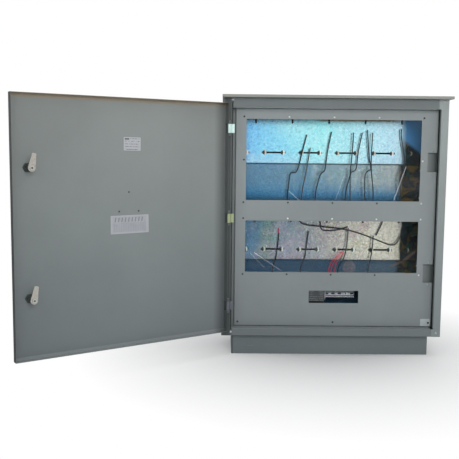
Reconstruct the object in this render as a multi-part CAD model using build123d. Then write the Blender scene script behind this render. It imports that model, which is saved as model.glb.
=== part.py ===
from build123d import *
import math
import os

# A free-standing roadside utility cabinet, folded from sheet steel, with its one door standing open.
# Sizes are in millimetres. The origin is on the ground under the middle of the body.
# +X runs to the right as seen from the front, +Y to the back and +Z up.

os.makedirs("parts", exist_ok=True)

# Body
body_width = 850
body_depth = 300
body_height = 910
sheet = 1.5
bend = 2.0
left_post = 35
right_post = 29
lip_depth = 15
top_rail = 37
bottom_rail = 29.5
rail_return = 40
back_fold = 20
rail_joint = 3.5
tab_joint = 1.5
left_tab_reach = 6
right_tab_reach = 8
left_tab_low = 24
left_tab_high = 15
ear_reach = 12

# Plinth
plinth_height = 80
plinth_sheet = 2.0
plinth_inset_side = 40
plinth_inset_front = 33
plinth_flange = 40
plinth_corner = 5
anchor_hole = 14
anchor_inset = 20
plinth_bolt_edge_side = 13
plinth_bolt_edge_front = 8

# Floor opening and its gland plate
gland_opening_width = 500
gland_gap_front = 2
gland_gap_back = 12
gland_overlap = 25
gland_sheet = 2.0
gland_count = 5
gland_pitch = 95
grommet_radius = 18
grommet_rim = 4
grommet_wall = 2
grommet_cone = 5

# Roof lid
lid_height = 10
lid_front = 27
lid_left = 2
lid_right = 11
lid_back = 10
lid_flange = 45
lid_corner = 4

# Inner cover
cover_setback = 41
cover_fold = 12
cover_gap_left = 14.5
cover_behind_right = 3
cover_gap_bottom = 0.5
cover_gap_top = 0.5
window_left = 40.5
window_right = 64
window_corner = 3
upper_window_drop = 39.5
window_band = 78.7
lower_window_rise = 213
lower_window_height = 201.3
rail_window_left = 291.5
rail_window_width = 194
rail_window_rise = 92
rail_window_height = 49
pane_thickness = 3
pane_overlap = 17
pane_screw_out = 8.5
pane_screw_columns = 5

# Latch notches in the right edge of the cover: lower edge, height and reach of each
latch_low = [176, 606.5]
latch_height = [72.5, 74.3]
latch_reach = [39.5, 37]
pocket_depth = 14
pocket_flange = 17
pocket_side_flange = 5
pocket_play = 1
pocket_screw_out = 8
pocket_screw_inset = 18.5

# Rails that carry the cover
cover_rail_face_left = 37.5
cover_rail_face_right = 50
cover_rail_step = 36
cover_rail_foot = 25
cross_rail_face = 32
cross_rail_depth = 26

# Mounting panel, its rails and the meter plates
panel_setback = 206
panel_gap = 31.5
panel_low = 32
panel_high = 15
panel_rail_overlap = 20
panel_rail_foot = 30
panel_screw_step = 25
plate_stand = 22
plate_lip = 12
plate_height = 230
upper_plate_drop = 17.5
lower_plate_rise = 271
meter_count = 5
meter_pitch = 146.5
meter_bolt_spread = 37
meter_slot = 7
meter_bolt_rise = 43.5
meter_slot_over = 12.25
meter_slot_end = 20
hang_slot_length = 62
hang_slot_drop = 9.5

# Top-hat rail and what it carries
hat_width = 35
hat_inner = 27
hat_depth = 7.5
hat_sheet = 1.0
hat_bend = 0.8
hat_left = -90
hat_length = 192
hat_slot_pitch = 25
hat_slot_length = 15
hat_slot_width = 6.2
hat_first_slot = 8.5
hat_front = 85
hat_rise = 150.5
bracket_sheet = 2.0
bracket_foot = 25
bracket_height = 28
bracket_slots = [1, 6]
module_left = -84
module_pitch = 17.5
module_count = 3.5
module_nose = 45
module_base = 84
module_nose_depth = 24
module_base_depth = 17
module_groove = 0.8
clamp_width = 8.5
clamp_height = 44
clamp_depth = 18
claw = 3

# Wire ducts
duct_height = 45
duct_depth = 60
duct_wall = 1.8
duct_half_length = 330
duct_slot_pitch = 25
duct_slot_width = 8
duct_slot_back = 22
duct_lid_lip = 8
lower_duct_rise = 173
upper_duct_rise = 465

# Door
door_angle = 147
door_depth = 25
door_clearance = 2
door_left_inset = 32
door_right_inset = 3.5
door_low = 21
door_high = 22
hinge_inset = 24
hinge_offset = 13
hinge_rises = [120, 457, 794]
hinge_block_half = 16.5
hinge_block_left = 8
hinge_block_right = 20
hinge_plate = 8
hinge_knuckle_radius = 8.3
hinge_pin_radius = 4.0
hinge_pin_head = 5.5
hinge_head_height = 2.5
hinge_pin_tail = 2
hinge_pin_chamfer = 1
hinge_play = 0.05
hinge_eye_radius = 7.5
hinge_eye_height = 9
hinge_eye_gap = 0.5
hinge_notch_gap = 1
rivet_radius = 1.6
rivet_head = 3.2
rivet_rise = 110.3
rivet_drop = 67
rivet_spread = 37.3
rivet_x = 6.9

# Locks, with the cam as it stands when the door is open
lock_inset = 57
lock_rises = [225, 651]
lock_flange_radius = 15
lock_flange = 3
lock_flange_chamfer = 1.5
lock_barrel_radius = 10
lock_nut_flats = 28
lock_nut_height = 5
lock_play = 0.05
lock_plug_radius = 6
lock_plug_head = 7.9
lock_plug_head_height = 3.5
lock_socket_radius = 5.5
lock_socket_depth = 2.5
lock_triangle = 3.6
cam_stand = 42
cam_thickness = 3
cam_square = 7
cam_hub_radius = 12
cam_length = 47.3
cam_tip_width = 14
cam_tip_corner = 3
cam_lean = 10.7
cam_gap = 0.3
cam_stud_radius = 3
cam_stud_end = 1
cam_nut_flats = 12
cam_nut_height = 4.5

# Fasteners
bolt_radius = 4
bolt_flats = 13
bolt_head = 5.3
bolt_nut = 6.5
corner_bolt_radius = 2
corner_bolt_head = 4.2
corner_bolt_dome = 2.4
corner_nut_flats = 7
corner_nut_height = 3.2
corner_bolt_drop = 8
corner_bolt_rise = 14.5
corner_bolt_left = 36.8
corner_bolt_right = 18
cover_screw_radius = 2
cover_screw_head = 3.8
cover_screw_dome = 2
pane_screw_radius = 1.7
pane_screw_head = 3.4
pane_screw_dome = 1.8
panel_screw_radius = 3
panel_screw_head = 5.5
panel_screw_dome = 3
meter_bolt_radius = 3
meter_bolt_head = 2.5
meter_bolt_head_width = 16.8
meter_bolt_end = 2
meter_nut_flats = 10
meter_nut_height = 5
meter_nut_flange = 9
meter_nut_flange_height = 1.5
hole_play = 0.1
nut_play = 0.05

# Planes and edges worked out from the sizes above
half = sheet / 2
front = -body_depth / 2
back = body_depth / 2
left = -body_width / 2
right = body_width / 2
body_low = plinth_height
body_high = plinth_height + body_height
inner_left = left + sheet
inner_right = right - sheet
inner_back = back - sheet
floor_face = body_low + sheet
roof_face = body_high - sheet
post_left = left + left_post
post_right = right - right_post
lip_back = front + lip_depth
rail_left = post_left + rail_joint
rail_right = post_right - right_tab_reach - tab_joint
plinth_side = body_width / 2 - plinth_inset_side
plinth_front = body_depth / 2 - plinth_inset_front
flange_edge_side = plinth_side - plinth_flange
flange_edge_front = plinth_front - plinth_flange
gland_x = gland_opening_width / 2 + gland_overlap
gland_y0 = -flange_edge_front + gland_gap_front
gland_y1 = flange_edge_front - gland_gap_back
gland_middle = (gland_y0 + gland_y1) / 2

cover_face = front + cover_setback
cover_left = post_left + cover_gap_left
cover_right = post_right + cover_behind_right
cover_low = body_low + bottom_rail + cover_gap_bottom
cover_high = body_high - top_rail - cover_gap_top
cover_seat = cover_face + cover_fold
window_x0 = cover_left + window_left
window_x1 = cover_right - window_right
lower_window_z0 = cover_low + lower_window_rise
lower_window_z1 = lower_window_z0 + lower_window_height
upper_window_z0 = lower_window_z1 + window_band
upper_window_z1 = cover_high - upper_window_drop
pane_x0 = window_x0 - pane_overlap
pane_x1 = window_x1 + pane_overlap
latches = [(cover_low + low, cover_low + low + height, cover_right - reach)
           for low, height, reach in zip(latch_low, latch_height, latch_reach)]

panel_front = front + panel_setback
panel_back = panel_front + sheet
panel_left = inner_left + panel_gap
panel_right = inner_right - panel_gap
panel_z0 = body_low + panel_low
panel_z1 = body_high - panel_high
plate_face = panel_front - plate_stand
upper_plate_z1 = body_high - upper_plate_drop
upper_plate_z0 = upper_plate_z1 - plate_height
lower_plate_z0 = body_low + lower_plate_rise
lower_plate_z1 = lower_plate_z0 + plate_height
meters = [(index - (meter_count - 1) / 2) * meter_pitch for index in range(meter_count)]
meter_bolt_x = [x + side * meter_bolt_spread for x in meters for side in (-1, 1)]

hat_y = front + hat_front
hat_z = body_low + hat_rise
hat_web = hat_y + hat_depth
hat_right = hat_left + hat_length
lower_duct_z0 = body_low + lower_duct_rise
upper_duct_z0 = body_low + upper_duct_rise

door_x0 = left + door_left_inset
door_x1 = right - door_right_inset
door_z0 = body_low + door_low
door_z1 = body_high - door_high
door_rim = front - door_clearance
door_skin = door_rim - door_depth
door_inside = door_skin + sheet
hinge_x = left + hinge_inset
hinge_y = front - hinge_offset
hinge_zs = [body_low + rise for rise in hinge_rises]
eye_low = hinge_block_half + hinge_eye_gap
eye_high = eye_low + hinge_eye_height
lock_x = door_x1 - lock_inset
lock_zs = [body_low + rise for rise in lock_rises]
cam_front = door_inside + cam_stand


def rect(x0, x1, y0, y1):
    """A rectangle between two corners."""
    return Pos((x0 + x1) / 2, (y0 + y1) / 2) * Rectangle(x1 - x0, y1 - y0)


def round_rect(x0, x1, y0, y1, radius):
    """A rectangle between two corners, with rounded corners."""
    return Pos((x0 + x1) / 2, (y0 + y1) / 2) * RectangleRounded(x1 - x0, y1 - y0, radius)


def disc(x, y, radius):
    """A circle about a point."""
    return Pos(x, y) * Circle(radius)


def slot(x0, x1, y, width):
    """A slot with round ends that runs along the first axis."""
    return Pos((x0 + x1) / 2, y) * SlotOverall(x1 - x0, width)


def folded(points, gauge=sheet, radius=bend):
    """The section of a sheet folded along a line through the middle of its thickness."""
    return trace(FilletPolyline(*points, radius=radius), line_width=gauge)


def upright(sketch, z0, z1):
    """A plan view drawn up from one height to another."""
    return Pos(0, 0, z0) * extrude(sketch, z1 - z0)


def facing(sketch, y0, y1):
    """A front view, across and up, drawn back from one depth to another."""
    return Pos(0, y1, 0) * extrude(Plane.XZ * sketch, y1 - y0)


def crosswise(sketch, x0, x1):
    """A side view, depth and height, drawn across from left to right."""
    return Pos(x0, 0, 0) * extrude(Plane.YZ * sketch, x1 - x0)


def turned(points):
    """A solid turned about Z from (radius, height) points."""
    return revolve(Plane.XZ * make_face(Polyline(*points, close=True)), Axis.Z)


def to_front(x, y, z):
    """Places a piece so that its own up points out of the cabinet's front."""
    return Pos(x, y, z) * Rot(X=90)


def to_back(x, y, z):
    """Places a piece so that its own up points to the back."""
    return Pos(x, y, z) * Rot(X=-90)


def swung(shape):
    """Turns a piece of the shut door about the hinges to where the door stands open."""
    return Pos(hinge_x, hinge_y) * Rot(Z=-door_angle) * Pos(-hinge_x, -hinge_y) * shape


def solids_of(items):
    """All solids of a list of shapes."""
    return [solid for item in items for solid in item.solids()]


def save(name, items):
    """Writes one node, a single solid or a group of separate ones."""
    solids = solids_of(items)
    shape = solids[0] if len(solids) == 1 else Compound(solids)
    export_step(shape, f"parts/{name}.step")


def hexagon(flats, bore=0.0):
    """A hexagon of a width across flats, with a round hole."""
    shape = RegularPolygon(flats / 2, 6, major_radius=False)
    return shape - Circle(bore) if bore else shape


def hex_bolt(radius, flats, head, length):
    """A hexagon bolt that seats at height 0, with its head up."""
    return extrude(hexagon(flats), head) + extrude(Circle(radius), -length)


def hex_nut(radius, flats, height):
    """A hexagon nut that seats at height 0 and reaches down."""
    return extrude(hexagon(flats, radius + nut_play), -height)


def domed_screw(radius, head, dome, length):
    """A pan-head screw that seats at height 0, with its head up."""
    return turned([(0, -length), (radius, -length), (radius, 0), (head, 0), (head, dome * 0.4),
                   (head * 0.55, dome), (0, dome)])


def tray(x0, x1, z0, z1, face, depth):
    """A pan folded back from its front face on all four sides."""
    outer = facing(rect(x0, x1, z0, z1), face, face + depth)
    outer = fillet(outer.edges().group_by(Axis.Y)[0], bend + half)
    inner = facing(rect(x0 + sheet, x1 - sheet, z0 + sheet, z1 - sheet), face + sheet, face + depth + sheet)
    inner = fillet(inner.edges().group_by(Axis.Y)[0], bend - half)
    return outer - inner


def make_plinth():
    """A channel frame with a flange turned in at its foot and another at its head."""
    w, d = 2 * plinth_side, 2 * plinth_front
    outer = RectangleRounded(w, d, plinth_corner)
    inner = RectangleRounded(w - 2 * plinth_sheet, d - 2 * plinth_sheet, plinth_corner - plinth_sheet)
    opening = RectangleRounded(w - 2 * plinth_flange, d - 2 * plinth_flange, plinth_corner)
    frame = extrude(outer, plinth_height)
    frame -= upright(inner, plinth_sheet, plinth_height - plinth_sheet)
    frame -= extrude(opening, plinth_height)
    for x, y in corners(plinth_side - anchor_inset, plinth_front - anchor_inset):
        frame -= extrude(disc(x, y, anchor_hole / 2), plinth_sheet)
    for x, y in plinth_bolt_places():
        frame -= upright(disc(x, y, bolt_radius + hole_play), plinth_height - plinth_sheet, plinth_height)
    return frame


def corners(x, y):
    """The four corners of a rectangle about the origin."""
    return [(sx * x, sy * y) for sx in (-1, 1) for sy in (-1, 1)]


def plinth_bolt_places():
    """Bolts through the floor pan and the plinth's head flange."""
    return corners(flange_edge_side + plinth_bolt_edge_side, flange_edge_front + plinth_bolt_edge_front)


def gland_bolt_places():
    """Bolts that hold the gland plate, outside the corners of its opening."""
    x = gland_x - gland_overlap / 2
    return [(px, py) for px in (-x, x) for py in (gland_y0 + gland_overlap / 2, gland_y1 - gland_overlap / 2)]


def corner_tabs():
    """The front flange's wider stretches at the corners: x0, x1, z0, z1, and the bolt's place."""
    bolt_low = body_low + corner_bolt_rise
    bolt_high = body_high - corner_bolt_drop
    bolt_left = left + corner_bolt_left
    bolt_right = right - corner_bolt_right
    tab_left = post_left + left_tab_reach
    tab_right = post_right - right_tab_reach
    return [(post_left, tab_left, body_low, body_low + left_tab_low, bolt_left, bolt_low),
            (post_left, tab_left, body_high - left_tab_high, body_high, bolt_left, bolt_high),
            (tab_right, post_right, body_low, body_low + bottom_rail, bolt_right, bolt_low),
            (tab_right, post_right, body_high - top_rail, body_high, bolt_right, bolt_high)]


def make_body_wrapper():
    """Left side, back and right side with both front posts and their lips, folded from one sheet."""
    plan = folded([(post_left - half, lip_back), (post_left - half, front + half),
                   (left + half, front + half), (left + half, back - half),
                   (right - half, back - half), (right - half, front + half),
                   (post_right + half, front + half), (post_right + half, lip_back)])
    wrapper = upright(plan, body_low, body_high)
    relief = sheet + bend
    for x0, x1, z0, z1, bolt_x, bolt_z in corner_tabs():
        lip_x0 = x0 - relief if x0 == post_left else x1
        wrapper -= facing(rect(lip_x0, lip_x0 + relief, z0, z1), front, lip_back + sheet)
        wrapper += facing(rect(min(x0, lip_x0), max(x1, lip_x0 + relief), z0, z1), front, front + sheet)
        wrapper -= facing(disc(bolt_x, bolt_z, corner_bolt_radius + hole_play), front, front + sheet)
    return wrapper


def make_pan(level, up, rail):
    """Floor or top pan: a sheet whose front edge is folded into the rail between the posts."""
    z = level + up * half
    edge = level + up * (rail - half)
    side = folded([(inner_back - half, level + up * back_fold), (inner_back - half, z), (front + half, z),
                   (front + half, edge), (front + rail_return, edge)])
    pan = crosswise(side, inner_left, inner_right)
    for x in (inner_left, inner_right - bend):
        pan -= upright(rect(x, x + bend, inner_back - bend, inner_back), body_low, body_high)
    z0, z1 = sorted((level - up * sheet, level + up * (rail + sheet)))
    above, below = sorted((level + up * (sheet + bend), level + up * (rail + sheet)))
    for x0, x1 in ((left, rail_left), (rail_right, right)):
        pan -= facing(rect(x0, x1, z0, z1), front, lip_back + sheet)
        pan -= facing(rect(x0, x1, above, below), front, front + rail_return + sheet)
    for x0, x1, t0, t1, bolt_x, bolt_z in corner_tabs():
        if (t0 == body_low) != (up > 0):
            continue
        joint = rect(x0 - tab_joint, x1 + tab_joint, t0 - tab_joint, t1 + tab_joint)
        pan -= facing(joint, front, front + sheet)
        ear_x0, ear_x1 = sorted((bolt_x, rail_left if x0 == post_left else rail_right))
        ear_z0 = max(t0, body_low + sheet)
        ear_z1 = min(t1, body_high - sheet)
        ear = rect(ear_x0 - ear_reach, ear_x1 + ear_reach, ear_z0, ear_z1)
        pan += facing(ear, front + sheet, front + 2 * sheet)
        pan -= facing(disc(bolt_x, bolt_z, corner_bolt_radius + hole_play), front, front + 2 * sheet)
    return pan


def make_floor_pan():
    """The floor, with its cable opening and its bolt holes."""
    pan = make_pan(body_low, 1, bottom_rail)
    x = gland_opening_width / 2
    pan -= upright(rect(-x, x, gland_y0 + gland_overlap, gland_y1 - gland_overlap), body_low, floor_face)
    for px, py in plinth_bolt_places() + gland_bolt_places():
        pan -= upright(disc(px, py, bolt_radius + hole_play), body_low, floor_face)
    return pan


def roof_bolt_places():
    """Bolts through the top pan and the side flanges of the lid."""
    x = body_width / 2 - lid_flange / 2
    return [(px, py) for px in (-x, x) for py in (front + lid_flange, back - lid_flange / 2)]


def make_top_pan():
    """The top of the body, with the bolt holes of the lid."""
    pan = make_pan(body_high, -1, top_rail)
    for x, y in roof_bolt_places():
        pan -= upright(disc(x, y, bolt_radius + hole_play), roof_face, body_high)
    return pan


def make_roof_lid():
    """A flat lid with a skirt all round and a flange turned in below."""
    x0, x1, y0, y1 = left - lid_left, right + lid_right, front - lid_front, back + lid_back
    top = body_high + lid_height
    lid = upright(round_rect(x0, x1, y0, y1, lid_corner), body_high, top)
    lid = fillet(lid.edges().group_by(Axis.Z)[-1], sheet)
    lid -= upright(round_rect(x0 + sheet, x1 - sheet, y0 + sheet, y1 - sheet, lid_corner - sheet),
                   body_high + sheet, top - sheet)
    middle = rect(x0 + lid_flange, x1 - lid_flange, y0 + lid_flange, y1 - lid_flange)
    lid -= upright(middle, body_high, top - sheet)
    for x, y in roof_bolt_places():
        lid -= upright(disc(x, y, bolt_radius + hole_play), body_high, body_high + sheet)
    return lid


def make_gland_plate():
    """A flat plate over the cable opening, with one round hole for each grommet."""
    plate = rect(-gland_x, gland_x, gland_y0, gland_y1)
    for px in grommet_places():
        plate -= disc(px, gland_middle, grommet_radius)
    for px, py in gland_bolt_places():
        plate -= disc(px, py, bolt_radius + hole_play)
    return upright(plate, floor_face, floor_face + gland_sheet)


def grommet_places():
    """The grommets' row across the gland plate."""
    return [(index - (gland_count - 1) / 2) * gland_pitch for index in range(gland_count)]


def make_grommet():
    """A rubber grommet with a thin cone that a cable pierces; height 0 is the plate's underside."""
    r, rim, wall = grommet_radius, grommet_rim, grommet_wall
    low, high = -wall, gland_sheet + wall
    top = high + grommet_cone
    return turned([(0, top), (r * 0.25, top), (r - wall, high), (r + rim, high), (r + rim, gland_sheet),
                   (r, gland_sheet), (r, 0), (r + rim * 0.5, 0), (r + rim * 0.3, low), (r - wall, low),
                   (r - wall, high - wall), (r * 0.25, top - wall), (0, top - wall)])


def make_cover():
    """The inner cover: a folded pan with two windows, a rail window and two latch notches."""
    cover = tray(cover_left, cover_right, cover_low, cover_high, cover_face, cover_fold)
    skin = (cover_face, cover_face + sheet)
    holes = round_rect(window_x0, window_x1, upper_window_z0, upper_window_z1, window_corner)
    holes += round_rect(window_x0, window_x1, lower_window_z0, lower_window_z1, window_corner)
    x0 = cover_left + rail_window_left
    z0 = cover_low + rail_window_rise
    holes += round_rect(x0, x0 + rail_window_width, z0, z0 + rail_window_height, window_corner)
    cover -= facing(holes, *skin)
    for z0, z1, x0 in latches:
        cover -= facing(rect(x0, cover_right, z0, z1), *skin)
        gap = sheet + pocket_play
        side = rect(cover_right - sheet - bend, cover_right, z0 - gap, z1 + gap)
        cover -= facing(side, cover_face + sheet, cover_seat)
        cover -= facing(rect(cover_right - sheet, cover_right, z0, z1), *skin)
    for x, z in pane_screw_places():
        cover -= facing(disc(x, z, pane_screw_radius + hole_play), *skin)
    for x, z in rail_screw_places() + pocket_screw_places():
        cover -= facing(disc(x, z, cover_screw_radius + hole_play), *skin)
    return cover


def pane_screw_places():
    """Screws along the long edges of both panes, and two at the middle of the upper one."""
    x0, x1 = window_x0 - pane_screw_out, window_x1 + pane_screw_out
    xs = [x0 + (x1 - x0) * index / (pane_screw_columns - 1) for index in range(pane_screw_columns)]
    rows = [upper_window_z0 - pane_screw_out, upper_window_z1 + pane_screw_out,
            lower_window_z0 - pane_screw_out, lower_window_z1 + pane_screw_out]
    middle = (upper_window_z0 + upper_window_z1) / 2
    return [(x, z) for z in rows for x in xs] + [(x0, middle), (x1, middle)]


def rail_screw_places():
    """Screws that hold the cover to its rails along the bottom."""
    z = cover_low + cross_rail_face / 2
    xs = (cover_left + cover_fold + bend, (cover_left + cover_right) / 2, cover_right - cover_fold)
    return [(x, z) for x in xs]


def pocket_screw_places():
    """Screws above and below each latch notch."""
    x = cover_right - pocket_screw_inset
    return [(x, z) for z0, z1, edge in latches for z in (z0 - pocket_screw_out, z1 + pocket_screw_out)]


def make_latch_pocket(z0, z1, x0):
    """A shallow box behind a notch, with a flange against the back of the cover."""
    seat = cover_face + sheet
    flange_x1 = cover_right - sheet - bend
    flange = rect(x0 - pocket_side_flange, flange_x1, z0 - pocket_flange, z1 + pocket_flange)
    pocket = facing(flange, seat, seat + sheet)
    wall = rect(x0 - sheet, cover_right, z0 - sheet, z1 + sheet)
    pocket += facing(wall, seat, seat + pocket_depth + sheet)
    pocket -= facing(rect(x0, cover_right - sheet, z0, z1), seat, seat + pocket_depth)
    for x, z in pocket_screw_places():
        pocket -= facing(disc(x, z, cover_screw_radius + hole_play), seat, seat + sheet)
    return pocket


def make_pane(z0, z1):
    """A clear sheet behind a window, with its screw holes."""
    pane = round_rect(pane_x0, pane_x1, z0 - pane_overlap, z1 + pane_overlap, window_corner)
    for x, z in pane_screw_places():
        pane -= disc(x, z, pane_screw_radius + hole_play)
    return facing(pane, cover_face + sheet, cover_face + sheet + pane_thickness)


def make_cover_rail(side):
    """An upright rail of Z section from a side wall to the back edge of the cover."""
    wall = inner_left if side < 0 else inner_right
    web = (cover_left - cover_fold if side < 0 else cover_right + 2 * sheet) + side * -half
    face = cover_rail_face_left if side < 0 else cover_rail_face_right
    y0 = cover_seat + half
    y1 = y0 + cover_rail_step
    plan = folded([(web - side * (face - half), y0), (web, y0), (web, y1), (wall - side * half, y1),
                   (wall - side * half, y1 + cover_rail_foot)])
    rail = upright(plan, floor_face, roof_face)
    for x, z in rail_screw_places():
        rail -= facing(disc(x, z, cover_screw_radius + hole_play), cover_seat, cover_seat + sheet)
    if side > 0:
        gap = sheet + pocket_play
        depth = pocket_depth + sheet - cover_fold + pocket_play
        for z0, z1, x0 in latches:
            pocket = rect(web - face - sheet, web - half, z0 - gap, z1 + gap)
            rail -= facing(pocket, cover_seat, cover_seat + depth)
    return rail


def make_cross_rail():
    """An angle between the two upright rails, behind the cover's bottom edge."""
    x0 = cover_left - cover_fold + cover_rail_face_left
    x1 = cover_right + 2 * sheet - cover_rail_face_right
    y = cover_seat + half
    side = folded([(y, cover_low + cross_rail_face), (y, cover_low + half),
                   (y + cross_rail_depth, cover_low + half)])
    rail = crosswise(side, x0, x1)
    for x, z in rail_screw_places():
        rail -= facing(disc(x, z, cover_screw_radius + hole_play), cover_seat, cover_seat + sheet)
    return rail


def make_meter_plate(z0):
    """A channel-shaped plate with a hanging slot for each meter and cross slots for its lower bolts."""
    z1 = z0 + plate_height
    y0, y1 = plate_face + half, panel_front - half
    side = folded([(y1, z0 + plate_lip), (y1, z0 + half), (y0, z0 + half), (y0, z1 - half),
                   (y1, z1 - half), (y1, z1 - plate_lip)])
    plate = crosswise(side, panel_left, panel_right)
    z = z0 + meter_bolt_rise
    reach = meter_bolt_spread
    outer = meters[-1] + reach
    cuts = slot(outer - meter_slot_over, outer + meter_slot_end, z, meter_slot)
    cuts += slot(-outer - meter_slot_end, -outer + meter_slot_over, z, meter_slot)
    for x, following in zip(meters, meters[1:]):
        cuts += slot(x + reach - meter_slot_over, following - reach + meter_slot_over, z, meter_slot)
    top = z1 - hang_slot_drop
    for x in meters:
        cuts += Pos(x, top - hang_slot_length / 2) * Rot(Z=90) * SlotOverall(hang_slot_length, meter_slot)
    plate -= facing(cuts, plate_face, plate_face + sheet)
    for x, z in plate_screw_places():
        plate -= facing(disc(x, z, panel_screw_radius + hole_play), panel_front - sheet, panel_front)
    return plate


def plate_screw_places():
    """Screws from behind the panel into the lips of the meter plates."""
    x = panel_right - panel_rail_overlap - 2 * panel_screw_head
    mid = plate_lip / 2
    rows = [lower_plate_z0 + mid, lower_plate_z1 - mid, upper_plate_z0 + mid, upper_plate_z1 - mid]
    return [(px, z) for z in rows for px in (-x, x)]


def panel_screw_places():
    """Screws from the front through the panel into its two rails, clear of the plates and ducts."""
    inset = panel_rail_overlap / 2
    step = panel_screw_step
    rows = [panel_z0 + step, lower_plate_z0 - step, lower_plate_z1 + step, upper_plate_z0 - step]
    return [(x, z) for z in rows for x in (panel_left + inset, panel_right - inset)]


def bracket_screw_x():
    """The screws in the brackets' feet are reached through two of the rail's slots."""
    return [hat_left + hat_first_slot + index * hat_slot_pitch for index in bracket_slots]


def make_mounting_panel():
    """The flat zinc-plated panel behind the meter plates."""
    panel = rect(panel_left, panel_right, panel_z0, panel_z1)
    for x, z in plate_screw_places() + panel_screw_places():
        panel -= disc(x, z, panel_screw_radius + hole_play)
    for x in bracket_screw_x():
        panel -= disc(x, hat_z, panel_screw_radius + hole_play)
    return facing(panel, panel_front, panel_back)


def make_panel_rail(side):
    """An upright angle on a side wall that carries one edge of the mounting panel."""
    wall = (inner_left if side < 0 else inner_right) - side * half
    tip = (panel_left if side < 0 else panel_right) - side * panel_rail_overlap
    y = panel_back + half
    rail = upright(folded([(tip, y), (wall, y), (wall, y + panel_rail_foot)]), floor_face, roof_face)
    for x, z in panel_screw_places():
        rail -= facing(disc(x, z, panel_screw_radius + hole_play), panel_back, panel_back + sheet)
    return rail


def make_hat_rail():
    """A top-hat rail with a row of slots in its web."""
    h = hat_sheet / 2
    outer, inner = hat_width / 2, hat_inner / 2 - h
    y0, y1 = hat_y + h, hat_web - h
    side = folded([(y0, hat_z - outer), (y0, hat_z - inner), (y1, hat_z - inner), (y1, hat_z + inner),
                   (y0, hat_z + inner), (y0, hat_z + outer)], hat_sheet, hat_bend)
    rail = crosswise(side, hat_left, hat_right)
    for index in range(int((hat_length - hat_first_slot) / hat_slot_pitch) + 1):
        x = hat_left + hat_first_slot + index * hat_slot_pitch
        if x + hat_slot_length / 2 < hat_right:
            cut = slot(x - hat_slot_length / 2, x + hat_slot_length / 2, hat_z, hat_slot_width)
            rail -= facing(cut, hat_web - hat_sheet, hat_web)
    return rail


def make_rail_bracket(screw_x):
    """A Z-shaped bracket that holds the top-hat rail off the mounting panel."""
    x = screw_x - bracket_foot / 2
    g = bracket_sheet / 2
    plan = folded([(x + bracket_foot, hat_web + g), (x + g, hat_web + g), (x + g, panel_front - g),
                   (x + bracket_foot, panel_front - g)], bracket_sheet, 1.5 * bracket_sheet)
    bracket = upright(plan, hat_z - bracket_height / 2, hat_z + bracket_height / 2)
    hole = disc(screw_x, hat_z, panel_screw_radius + hole_play)
    return bracket - facing(hole, hat_web, panel_front)


def clipped(points, x0, x1):
    """A device body clipped on the top-hat rail: a side outline plus claws over the rail's edges."""
    body = make_face(Polyline(*points, close=True))
    edge = hat_width / 2 + hole_play
    for s in (-1, 1):
        arm = [hat_z + s * (edge - claw), hat_z + s * edge, hat_z + s * (edge + claw)]
        low, mid, high = sorted(arm)
        z0, z1 = sorted((mid, hat_z + s * (edge + claw)))
        body += rect(hat_y, hat_y + hat_sheet + hole_play + claw / 2, z0, z1)
        body += rect(hat_y + hat_sheet + hole_play, hat_y + hat_sheet + hole_play + claw / 2, low, high)
    return crosswise(body, x0, x1)


def make_rail_module():
    """A row of narrow switch modules with the usual stepped nose, as one closed block."""
    base, nose = module_base / 2, module_nose / 2
    y1 = hat_y - module_base_depth
    y2 = y1 - module_nose_depth
    points = [(hat_y, hat_z - base), (y1, hat_z - base), (y1, hat_z - nose), (y2, hat_z - nose),
              (y2, hat_z + nose), (y1, hat_z + nose), (y1, hat_z + base), (hat_y, hat_z + base)]
    width = module_pitch * module_count
    block = clipped(points, module_left, module_left + width)
    for index in range(1, int(module_count) + 1):
        x = module_left + index * module_pitch
        groove = rect(x - module_groove / 2, x + module_groove / 2, hat_z - nose, hat_z + nose)
        block -= facing(groove, y2, y2 + module_groove)
    return block


def make_end_clamp():
    """A small clamp that stops the modules from sliding along the rail."""
    x0 = module_left + module_pitch * module_count + 2 * hole_play
    h = clamp_height / 2
    y1, y2 = hat_y - clamp_depth * 0.6, hat_y - clamp_depth
    points = [(hat_y, hat_z - h), (y1, hat_z - h), (y2, hat_z - h * 0.5),
              (y2, hat_z + h * 0.5), (y1, hat_z + h), (hat_y, hat_z + h)]
    return clipped(points, x0, x0 + clamp_width)


def make_wire_duct(z0, seat):
    """A channel for wires against an upright face, with a comb of slots along both long walls."""
    z1 = z0 + duct_height
    face = seat - duct_depth
    channel = rect(face + duct_wall, seat, z0, z1)
    channel -= rect(face + duct_wall, seat - duct_wall, z0 + duct_wall, z1 - duct_wall)
    duct = crosswise(channel, -duct_half_length, duct_half_length)
    cut = rect(face, seat - duct_slot_back, z0, z1)
    count = int(duct_half_length / duct_slot_pitch)
    for index in range(-count, count + 1):
        x = index * duct_slot_pitch
        duct -= crosswise(cut, x - duct_slot_width / 2, x + duct_slot_width / 2)
    return duct


def make_duct_lid(z0, seat):
    """The lid that snaps over the front of a wire duct."""
    z1 = z0 + duct_height
    face = seat - duct_depth
    inner = duct_wall + hole_play
    lid = rect(face, face + duct_wall, z0, z1)
    lip_y = face + duct_wall + duct_lid_lip
    lid += rect(face, lip_y, z0 + inner, z0 + inner + duct_wall)
    lid += rect(face, lip_y, z1 - inner - duct_wall, z1 - inner)
    return crosswise(lid, -duct_half_length, duct_half_length)


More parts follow.
